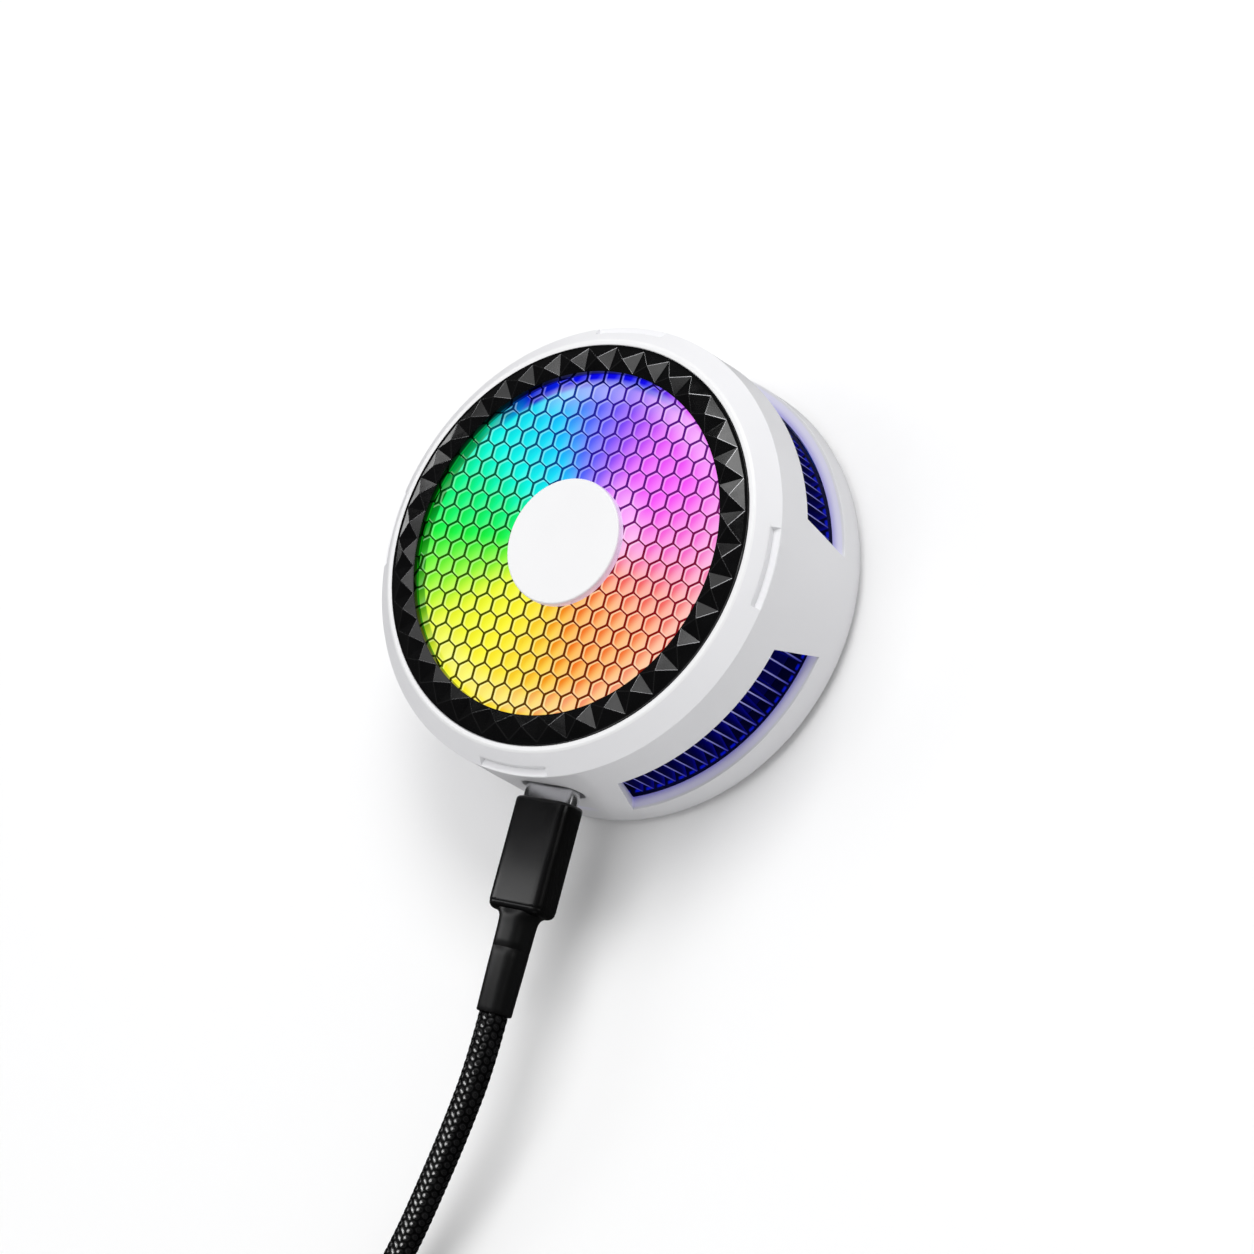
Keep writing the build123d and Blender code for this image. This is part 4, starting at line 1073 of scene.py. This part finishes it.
bm = bmesh.new()
prof = [(3.05, 14.72), (2.86, 14.95), (2.70, 15.25), (2.60, 15.65), (2.54, 16.2), (2.50, 17.0), (2.475, 18.6),
        (2.465, 19.56), (2.43, 19.60), (2.43, 19.67), (2.452, 19.71), (2.446, 20.8), (2.425, 22.5), (2.38, 24.5), (2.35, 26.4),
        (2.33, 27.3), (2.33, 27.45), (2.32, 27.9), (2.25, 28.05), (2.05, 28.1), (1.98, 27.9), (1.98, 27.2), (1.0, 27.2), (0.0, 27.2)]
n = 72
rows = []
for r, y in prof:
    flat = max(0.0, (15.4 - y) / 0.7)
    ring_pts = []
    for k in range(n):
        a = 2 * math.pi * k / n
        ring_pts.append((r * math.cos(a) * (1 + 0.35 * flat), Y0 - y, 11.8 + r * math.sin(a) * (1 - 0.22 * flat)))
    rows.append(add_verts(bm, ring_pts))
for a, b in zip(rows, rows[1:]):
    bridge(bm, a, b)
add_face(bm, rows[0][::-1])
# the relief gets painted shade where it does not face up
RELIEF = plastic("relief_black", (0.0080, 0.0080, 0.0085), 0.36, 0.10, 0.09, 0.05, spec=0.42, edge_shade=0.35).m
relief = finish_mesh("plug_relief", bm, "lead", ("strain_relief",), (RELIEF,), sharp=45)

# ------------------------------------------------------------------ tie on the coil
bm = bmesh.new()
rin, rout = 17.6 - 1.85, 25.0 + 1.85
outer = rounded([(rin - 0.5, 0.0), (rout + 0.5, 0.0), (rout + 0.5, 15.8), (rin - 0.5, 15.8)], 1.1, 5)
inner_l = rounded([(rin, 0.5), (rout, 0.5), (rout, 15.3), (rin, 15.3)], 0.8, 5)
cols_t = []
for k in range(15):
    a = 13 + 14 * k / 14
    lift = 0.0
    o = [(COIL[0] + r * math.cos(math.radians(a)), COIL[1] + r * math.sin(math.radians(a)), z) for r, z in outer]
    i_ = [(COIL[0] + r * math.cos(math.radians(a)), COIL[1] + r * math.sin(math.radians(a)), z) for r, z in inner_l]
    cols_t.append((add_verts(bm, o), add_verts(bm, i_)))
for (o0, i0), (o1, i1) in zip(cols_t, cols_t[1:]):
    bridge(bm, o0, o1)
    bridge(bm, i1, i0)
bridge(bm, cols_t[0][1], cols_t[0][0])
bridge(bm, cols_t[-1][0], cols_t[-1][1])
m = Mat("tie_black")
m.to(m.ramp(m.noise(2600.0, 5.0, 0.75), ((0.3, (0.008, 0.008, 0.009)), (0.7, (0.04, 0.04, 0.043)))), "Base Color")
m.set(Roughness=0.9, Sheen_Weight=0.3)
m.bump(m.noise(4200.0, 4.0, 0.8), 0.9, 0.00008)
tie = finish_mesh("coil_strap", bm, "lead", ("coil_tie",), (m.m,), sharp=50)

# ------------------------------------------------------------------ far plug
far = Matrix.Translation(Vector((37.66, -153.34, 3.9)) * K) @ Matrix.Rotation(math.radians(TAIL_HEADING), 4, "Z")


def placed(bm, matrix):
    bmesh.ops.transform(bm, matrix=matrix, verts=bm.verts)
    return bm


bm = bmesh.new()
rows = []
for x, sh in ((12.0, 3.0), (12.0, 0.95), (12.12, 0.5), (12.45, 0.18), (13.1, 0.0), (16.0, 0.0), (16.1, 0.06), (16.2, 0.0), (17.0, 0.0), (17.1, 0.06),
              (17.2, 0.0), (22.0, 0.0), (27.0, 0.0), (30.3, 0.0), (30.75, 0.08), (30.95, 0.25), (31.0, 0.5), (31.0, 2.6)):
    rows.append(add_verts(bm, [(x, y, z) for y, z in section(15.6 - 2 * sh, 7.8 - 2 * sh, max(1.8 - sh, 0.15))]))
for a, b in zip(rows, rows[1:]):
    bridge(bm, a, b)
add_face(bm, rows[0][::-1])
add_face(bm, rows[-1])
far_grip = finish_mesh("far_plug_grip", placed(bm, far), "lead", ("far_plug_overmould",), (OVER,), sharp=40)

bm = bmesh.new()
prof = [(0.0, 0.02), (1.95, 0.02), (2.15, 0.0), (2.30, 0.15)]
x = 0.4
while x < 11.2:
    base_r = 2.3 + 0.6 * x / 12
    prof += [(base_r, x), (base_r, x + 0.62), (base_r - 0.28, x + 0.72), (base_r - 0.28, x + 1.0)]
    x += 1.12
prof += [(2.9, 11.6), (2.95, 12.2), (0.0, 12.2)]
rows = []
for r, xx in prof:
    rows.append(add_verts(bm, [(xx, max(r, 0.001) * math.cos(2 * math.pi * k / 56), max(r, 0.001) * math.sin(2 * math.pi * k / 56)) for k in range(56)]))
for a, b in zip(rows, rows[1:]):
    bridge(bm, a, b)
far_rel = finish_mesh("far_plug_relief", placed(bm, far), "lead", ("far_strain_relief",), (RELIEF,), sharp=40, merge=3e-6)

bm = bmesh.new()
rows = []
for x, sh in ((30.95, 0.0), (34.0, 0.0), (42.7, 0.0), (42.9, 0.04), (43.0, 0.14), (43.0, 0.22), (42.9, 0.30), (31.2, 0.30)):
    rows.append(add_verts(bm, [(x, y, z) for y, z in section(12.0 - 2 * sh, 4.5 - 2 * sh, max(0.3 - sh * 0.5, 0.08), 3)]))
for a, b in zip(rows, rows[1:]):
    bridge(bm, a, b)
add_face(bm, rows[-1])
# latch windows pressed in the top and bottom
for sy in (-1, 1):
    for sz in (-1, 1):
        c = (37.8, sy * 2.9, sz * 2.25)
        rim_o = [(c[0] + dx, c[1] + dy, c[2] + sz * 0.004) for dx, dy in rounded([(-1.2, -1.2), (1.2, -1.2), (1.2, 1.2), (-1.2, 1.2)], 0.2, 3)]
        rim_m = [(c[0] + dx, c[1] + dy, c[2] - sz * 0.02) for dx, dy in rounded([(-1.1, -1.1), (1.1, -1.1), (1.1, 1.1), (-1.1, 1.1)], 0.2, 3)]
        rim_i = [(c[0] + dx, c[1] + dy, c[2] - sz * 0.24) for dx, dy in rounded([(-1.05, -1.05), (1.05, -1.05), (1.05, 1.05), (-1.05, 1.05)], 0.2, 3)]
        ro, rm, ri = add_verts(bm, rim_o), add_verts(bm, rim_m), add_verts(bm, rim_i)
        bridge(bm, ro, rm)
        bridge(bm, rm, ri, True, 1)
        add_face(bm, ri, 1)
DARK_IN = plastic("connector_black", (0.018, 0.018, 0.019), 0.5, 0.1, 0.1, 0.05).m
far_shell = finish_mesh("far_plug_shell_piece", placed(bm, far), "lead", ("far_plug_shell",), (SILVER, DARK_IN), sharp=35)

bm = bmesh.new()


def bar(bm, x0, x1, y0, y1, z0, z1, r=0.08, mat=0):
    """Bar along X with rounded long edges and ends."""
    cyy, czz, wy, wz = (y0 + y1) / 2, (z0 + z1) / 2, y1 - y0, z1 - z0
    rows = []
    for x, sh in ((x0, 0.6 * r), (x0 + 0.5 * r, 0.15 * r), (x0 + r, 0), (x1 - r, 0), (x1 - 0.5 * r, 0.15 * r), (x1, 0.6 * r)):
        rows.append(add_verts(bm, [(x, cyy + y, czz + z) for y, z in section(wy - 2 * sh, wz - 2 * sh, max(r - sh, 0.02), 2)]))
    for a, b in zip(rows, rows[1:]):
        bridge(bm, a, b, True, mat)
    add_face(bm, rows[0][::-1], mat)
    add_face(bm, rows[-1], mat)


bar(bm, 31.0, 42.0, -5.65, 5.65, 0.1, 1.9, 0.15)
for y in (-3.5, -1.0, 1.0, 3.5):
    bar(bm, 34.5, 41.4, y - 0.5, y + 0.5, 0.02, 0.16, 0.04, 1)
GOLD = metal("contact_gold", (0.85, 0.62, 0.28), 0.25, "X", 0.1).m
far_tongue = finish_mesh("far_plug_blade", placed(bm, far), "lead", ("far_plug_tongue",), (DARK_IN, GOLD), sharp=35)

# ------------------------------------------------------------------ rear: pad, cold plate, cover and screws
bm = bmesh.new()
lathe(bm, rounded([(20.7, 0.8), (20.7, 0.0), (29.0, 0.0), (29.0, 0.8)], [0, 0.25, 0.25, 0], 4), 240)
for rr in (22.6, 24.1, 25.6, 27.1):   # low ribs that grip
    lathe(bm, rounded([(rr - 0.22, 0.1), (rr - 0.12, 0.0), (rr + 0.12, 0.0), (rr + 0.22, 0.1)], 0.02, 2), 240)
m = Mat("pad_silicone")
m.to(m.ramp(m.noise(240.0, 4.0), ((0.3, (0.018, 0.018, 0.020)), (0.7, (0.026, 0.026, 0.029)))), "Base Color")
m.to(m.remap(m.noise(900.0, 3.0), 0.3, 0.7, 0.6, 0.72), "Roughness")
m.bump(m.noise(4000.0, 3.0), 0.2, 0.00002)
finish_mesh("silicone_pad", bm, "housing", ("grip_pad",), (m.m,), sharp=40)

bm = bmesh.new()
lathe(bm, rounded([(0, 0), (17.0, 0), (17.2, 0.2), (17.2, 2.0), (21.2, 2.0), (21.2, 3.9), (0, 3.9)], [0, 0.1, 0.1, 0.05, 0.1, 0.1, 0], 3), 240)
finish_mesh("cold_disc", bm, "housing", ("cold_plate",), (COLD,), sharp=40)

bm = bmesh.new()
for a in (0, 90, 180):
    cxs, cys, _ = polar(28.0, a, 0)
    n = 36
    rows = []
    for r, z in ((0.55, 1.42), (1.0, 1.42), (1.05, 1.36), (1.05, 1.02), (0.98, 0.90), (0.85, 0.86)):
        rows.append(add_verts(bm, [(cxs + r * math.cos(2 * math.pi * k / n), cys + r * math.sin(2 * math.pi * k / n), z) for k in range(n)]))
    # cross recess
    cross = []
    for k in range(n):
        t = 2 * math.pi * k / n
        q = abs(((math.degrees(t) + 45) % 90) - 45)
        r = 0.62 if q < 13 else (0.24 if q > 22 else 0.24 + (0.62 - 0.24) * (22 - q) / 9)
        cross.append((r * math.cos(t), r * math.sin(t)))
    rows.append(add_verts(bm, [(cxs + x, cys + y, 0.86) for x, y in cross]))
    rows.append(add_verts(bm, [(cxs + x * 0.8, cys + y * 0.8, 1.15) for x, y in cross]))
    rows.append(add_verts(bm, [(cxs + x * 0.3, cys + y * 0.3, 1.25) for x, y in cross]))
    for a_, b_ in zip(rows, rows[1:]):
        bridge(bm, a_, b_)
    add_face(bm, rows[-1])
    add_face(bm, rows[0][::-1])
finish_mesh("rear_screw_heads", bm, "housing", ("rear_screws",), (ZINC,), sharp=35)

# ------------------------------------------------------------------ materials on the CAD nodes that stay
# painted light: a bright stripe down the middle of each fin's outer edge, paler towards the top (painted highlight),
# and a blue glow on the fin faces, strongest at their foot by the light ring and weaker towards the outer edge
m = Mat("fin_metal")
geo = m.node("ShaderNodeNewGeometry")
sepp, sepn = m.node("ShaderNodeSeparateXYZ"), m.node("ShaderNodeSeparateXYZ")
m.link(m.obj(), sepp.inputs[0])
m.link(geo.outputs["True Normal"], sepn.inputs[0])
rad = m.math("SQRT", m.math("ADD", m.math("MULTIPLY", sepp.outputs[0], sepp.outputs[0]), m.math("MULTIPLY", sepp.outputs[1], sepp.outputs[1])))
dot = m.math("DIVIDE", m.math("ADD", m.math("MULTIPLY", sepp.outputs[0], sepn.outputs[0]), m.math("MULTIPLY", sepp.outputs[1], sepn.outputs[1])), rad)
zmm = m.math("MULTIPLY", sepp.outputs[2], 1000.0)
rmm = m.math("MULTIPLY", rad, 1000.0)
turn = m.math("MULTIPLY_ADD", m.math("ARCTAN2", sepp.outputs[1], sepp.outputs[0]), 108 / (2 * math.pi), 108.0)
mid = m.math("ABSOLUTE", m.math("SUBTRACT", m.math("FRACT", turn), 0.5))
edge = m.math("MULTIPLY", m.math("MULTIPLY", m.remap(dot, 0.6, 0.9), m.remap(rmm, 28.2, 28.4)), m.remap(mid, 0.062, 0.046))
up = m.remap(zmm, 5.2, 15.2)
m.to(m.mix(edge, m.ramp(m.noise(1500.0, 3.0), ((0.3, (0.005, 0.005, 0.010)), (0.7, (0.009, 0.009, 0.016)))),
           m.ramp(up, ((0.0, (0.05, 0.05, 0.12)), (1.0, (0.28, 0.28, 0.36))))), "Base Color")
m.to(m.remap(m.noise(2500.0, 3.0), 0.3, 0.7, 0.34, 0.50), "Roughness")
face_glow = m.ramp(up, ((0.0, (0.002, 0.002, 0.16)), (0.06, (0.002, 0.002, 0.13)), (0.12, (0.001, 0.001, 0.10)),
                        (0.30, (0.0, 0.0, 0.052)), (0.58, (0.0, 0.0, 0.024)), (1.0, (0.0, 0.0, 0.006))))
depth = m.math("MAXIMUM", m.remap(rmm, 28.5, 26.6, 0.30, 1.0), m.remap(up, 0.16, 0.04))
face_glow = m.mix(1.0, face_glow, m.mix(depth, (0.0, 0.0, 0.0), (1.0, 1.0, 1.0)), "MULTIPLY")
edge_glow = m.ramp(up, ((0.0, (0.02, 0.02, 0.26)), (0.5, (0.09, 0.09, 0.34)), (1.0, (0.21, 0.21, 0.44))))
glow = m.mix(edge, face_glow, edge_glow)
m.to(glow, "Emission Color")
m.set(Emission_Strength=1.0, Specular_IOR_Level=0.25)
m.bump(m.noise(5000.0, 2.0), 0.15, 0.00001)
FIN = m.m

m = Mat("light_guide")
sepp = m.node("ShaderNodeSeparateXYZ")
m.link(m.obj(), sepp.inputs[0])
rmm = m.math("MULTIPLY", m.math("SQRT", m.math("ADD", m.math("MULTIPLY", sepp.outputs[0], sepp.outputs[0]),
                                               m.math("MULTIPLY", sepp.outputs[1], sepp.outputs[1]))), 1000.0)
inn = m.remap(rmm, 28.0, 28.2, 0.0, 1.0, True)
out_ = m.remap(rmm, 28.52, 28.42, 0.0, 1.0, True)
turn = m.math("MULTIPLY_ADD", m.math("ARCTAN2", sepp.outputs[1], sepp.outputs[0]), 108 / (2 * math.pi), 108.0)
between = m.remap(m.math("ABSOLUTE", m.math("SUBTRACT", m.math("FRACT", turn), 0.5)), 0.20, 0.32)
inn = m.math("MULTIPLY", inn, between)
m.to(m.ramp(m.noise(300.0, 3.0), ((0.3, (0.006, 0.006, 0.03)), (0.7, (0.010, 0.010, 0.05)))), "Base Color")
m.to(m.mix(m.math("MULTIPLY", inn, out_), (0.0, 0.0, 0.004), (0.0, 0.004, 0.42)), "Emission Color")
m.set(Emission_Strength=1.0, Roughness=0.4)
m.bump(m.noise(5000.0, 2.0), 0.1, 0.00001)
GUIDE = m.m

m = Mat("pcb_green")
vor = m.node("ShaderNodeTexVoronoi", feature="DISTANCE_TO_EDGE")
vor.inputs["Scale"].default_value = 700.0
m.link(m.obj(), vor.inputs["Vector"])
m.to(m.mix(m.remap(vor.outputs["Distance"], 0.02, 0.05), (0.03, 0.22, 0.09), (0.012, 0.10, 0.045)), "Base Color")
m.to(m.remap(m.noise(600.0), 0.3, 0.7, 0.3, 0.4), "Roughness")
m.bump(vor.outputs["Distance"], 0.3, 0.00003)
PCB = m.m

m = Mat("copper")
wave = m.node("ShaderNodeTexWave", wave_type="BANDS", bands_direction="Z")
wave.inputs["Scale"].default_value = 1400.0
m.link(m.obj(), wave.inputs["Vector"])
m.to(m.ramp(wave.outputs["Fac"], ((0.0, (0.30, 0.09, 0.03)), (0.6, (0.75, 0.30, 0.12)))), "Base Color")
m.set(Metallic=0.9, Roughness=0.35)
m.bump(wave.outputs["Fac"], 0.6, 0.00005)
COPPER = m.m

FOAM = plastic("foam", (0.02, 0.02, 0.022), 0.9, 0.9, 0.3, 0.2).m
CERAMIC = plastic("tec_ceramic", (0.80, 0.78, 0.74), 0.55, 0.3, 0.15, 0.04).m
PELLET = metal("tec_pellet", (0.20, 0.20, 0.24), 0.4, None, 0.3).m
CHIP = plastic("chip_black", (0.015, 0.015, 0.016), 0.5, 0.2, 0.1, 0.1).m
DUCT = plastic("duct_grey", (0.42, 0.43, 0.46), 0.45, 0.2, 0.14, 0.03).m
FERRITE = plastic("magnet_dark", (0.04, 0.038, 0.037), 0.6, 0.4, 0.2, 0.1).m
WIRE = plastic("wire_red_black", (0.28, 0.012, 0.012), 0.4, 0.1, 0.1, 0.1).m


def glowing(name, col, strength):
    m = Mat(name)
    m.to(m.ramp(m.noise(500.0, 2.0), ((0.3, tuple(c * 0.9 for c in col)), (0.7, col))), "Base Color")
    m.to(m.ramp(m.noise(500.0, 2.0), ((0.3, tuple(c * 0.9 for c in col)), (0.7, col))), "Emission Color")
    m.set(Emission_Strength=strength, Roughness=0.25)
    return m.m


LED_W = glowing("led_lens", (0.9, 0.9, 0.85), 1.2)
LED_B = glowing("led_blue", (0.02, 0.12, 1.0), 1.5)

DRESS = {
    "heatsink": FIN, "vent_light_ring": GUIDE, "blue_leds": LED_B, "rgb_leds": LED_W, "fan_duct": DUCT,
    "control_board": PCB, "motor_board": PCB, "usb_board": PCB, "board_components": CHIP, "board_leads": WIRE,
    "peltier_leads": WIRE, "motor_base": DUCT, "motor_base_screws": ZINC, "bearing_sleeve": BRONZE,
    "rotor_shaft": ZINC, "stator_core": STAMPED, "stator_coils": COPPER, "rotor_magnet": FERRITE,
    "rotor_yoke": STAMPED, "impeller": ROTOR, "peltier_cold_plate": CERAMIC, "peltier_hot_plate": CERAMIC,
    "peltier_elements": PELLET, "insulation_ring": FOAM, "clamp_screws": ZINC, "rear_cover": COVER,
    "magnet_segments": NICKEL, "magnet_yoke": STAMPED, "usb_socket_shell": SILVER,
    "usb_socket_tongue": DARK_IN, "plug_shell": SILVER, "plug_insert": DARK_IN,
}
for name, mat in DRESS.items():
    ob = NODE[name]
    ob.data.materials.clear()
    ob.data.materials.append(mat)
    ob.data.shade_smooth()
    ob.data.set_sharp_from_angle(angle=math.radians(28))
    wn = ob.modifiers.new("weighted", "WEIGHTED_NORMAL")
    wn.keep_sharp = True
    wn.weight = 50

# ------------------------------------------------------------------ floor, light
fl = bpy.data.meshes.new("floor")
fl.from_pydata([(-3, -3, 0), (3, -3, 0), (3, 3, 0), (-3, 3, 0)], [], [(0, 1, 2, 3)])
floor = bpy.data.objects.new("floor", fl)
SCENE.collection.objects.link(floor)
m = Mat("floor_pale")
m.to(m.ramp(m.noise(6.0, 2.0), ((0.3, (0.955, 0.955, 0.958)), (0.7, (0.965, 0.965, 0.967)))), "Base Color")
m.set(Roughness=0.75, Specular_IOR_Level=0.2)
fl.materials.append(m.m)
floor.visible_glossy = False

world = bpy.data.worlds.new("studio")
SCENE.world = world
world.use_nodes = True
wt = world.node_tree
bg = wt.nodes["Background"]
bg.inputs["Color"].default_value = (1.0, 1.0, 1.0, 1.0)
# an even white room for matt surfaces, a dim one for what the glossy black parts mirror
path = wt.nodes.new("ShaderNodeLightPath")
dim = wt.nodes.new("ShaderNodeMapRange")
dim.inputs["To Min"].default_value = 0.46
dim.inputs["To Max"].default_value = 0.03
wt.links.new(path.outputs["Is Glossy Ray"], dim.inputs["Value"])
seen = wt.nodes.new("ShaderNodeMath")
seen.operation = "MULTIPLY_ADD"
seen.inputs[1].default_value = 0.5
wt.links.new(path.outputs["Is Camera Ray"], seen.inputs[0])
wt.links.new(dim.outputs["Result"], seen.inputs[2])
wt.links.new(seen.outputs[0], bg.inputs["Strength"])


def softbox(name, az, el, dist, w, h, radiance, diffuse=True, glossy=True, aim=(0, 0, 0.012)):
    """Area light seen from the drum at this azimuth and elevation, by its radiance."""
    a, e = math.radians(az), math.radians(el)
    d = Vector((math.cos(e) * math.cos(a), math.cos(e) * math.sin(a), math.sin(e)))
    L = bpy.data.lights.new(name, "AREA")
    L.shape = "RECTANGLE"
    L.size, L.size_y = w, h
    L.energy = radiance * math.pi * w * h
    ob = bpy.data.objects.new(name, L)
    SCENE.collection.objects.link(ob)
    ob.location = Vector(aim) + d * dist
    ob.rotation_euler = d.to_track_quat("Z", "Y").to_euler()
    ob.visible_diffuse = diffuse
    ob.visible_glossy = glossy
    ob.visible_camera = False
    return ob


def radiance(level, el, dist, w, h):
    """Radiance that gives a level of light on the floor."""
    return level * math.pi / (w * h / dist ** 2 * math.sin(math.radians(el)))


# lamps for the matt surfaces
softbox("key", 72, 50, 1.6, 0.9, 0.6, radiance(0.32, 50, 1.6, 0.9, 0.6), glossy=False)
softbox("top", 170, 84, 1.6, 1.2, 1.2, radiance(0.34, 84, 1.6, 1.2, 1.2), glossy=False)
softbox("left", 185, 40, 1.6, 0.8, 0.6, radiance(0.04, 40, 1.6, 0.8, 0.6), glossy=False)
# panels that the glossy black parts mirror
softbox("panel_back", 76, 46, 1.0, 0.56, 0.34, 3.5, diffuse=False)
softbox("panel_back_high", 84, 70, 1.0, 0.36, 0.32, 1.5, diffuse=False)
softbox("panel_back_left", 110, 48, 1.0, 0.34, 0.44, 0.9, diffuse=False)
softbox("panel_left_high", 129, 25, 1.1, 0.26, 0.14, 2.0, diffuse=False)
softbox("panel_left", 163, -6, 1.0, 0.30, 0.12, 2.3, diffuse=False)
softbox("panel_right", 14, 34, 1.0, 0.10, 0.30, 3.0, diffuse=False)
softbox("panel_front", -80, 24, 1.2, 0.5, 0.2, 0.5, diffuse=False)


def near_lamp(name, at, aim, w, h, level, only):
    """Small lamp close by, that lights nothing but these objects."""
    lamp = softbox(name, 0, 45, 0.1, w, h, level, diffuse=False)
    lamp.location = at
    lamp.rotation_euler = (Vector(at) - Vector(aim)).to_track_quat("Z", "Y").to_euler()
    group = bpy.data.collections.new(name + "_group")
    for ob in only:
        group.objects.link(ob)
    lamp.light_linking.receiver_collection = group


near_lamp("lamp_lead", (-0.073, -0.143, 0.134), (-0.010, -0.095, 0.007), 0.08, 0.09, 24.0, (cable,))
near_lamp("lamp_plug", (-0.0405, -0.041, 0.0635), (-0.0035, -0.041, 0.014), 0.012, 0.12, 3.4, (overmould, relief))
# a pale ceiling for the far plug's steel shell to mirror
near_lamp("lamp_far_plug", (0.0, -0.13, 0.9), (0.0, -0.13, 0.0), 2.6, 2.6, 0.55, (far_shell,))
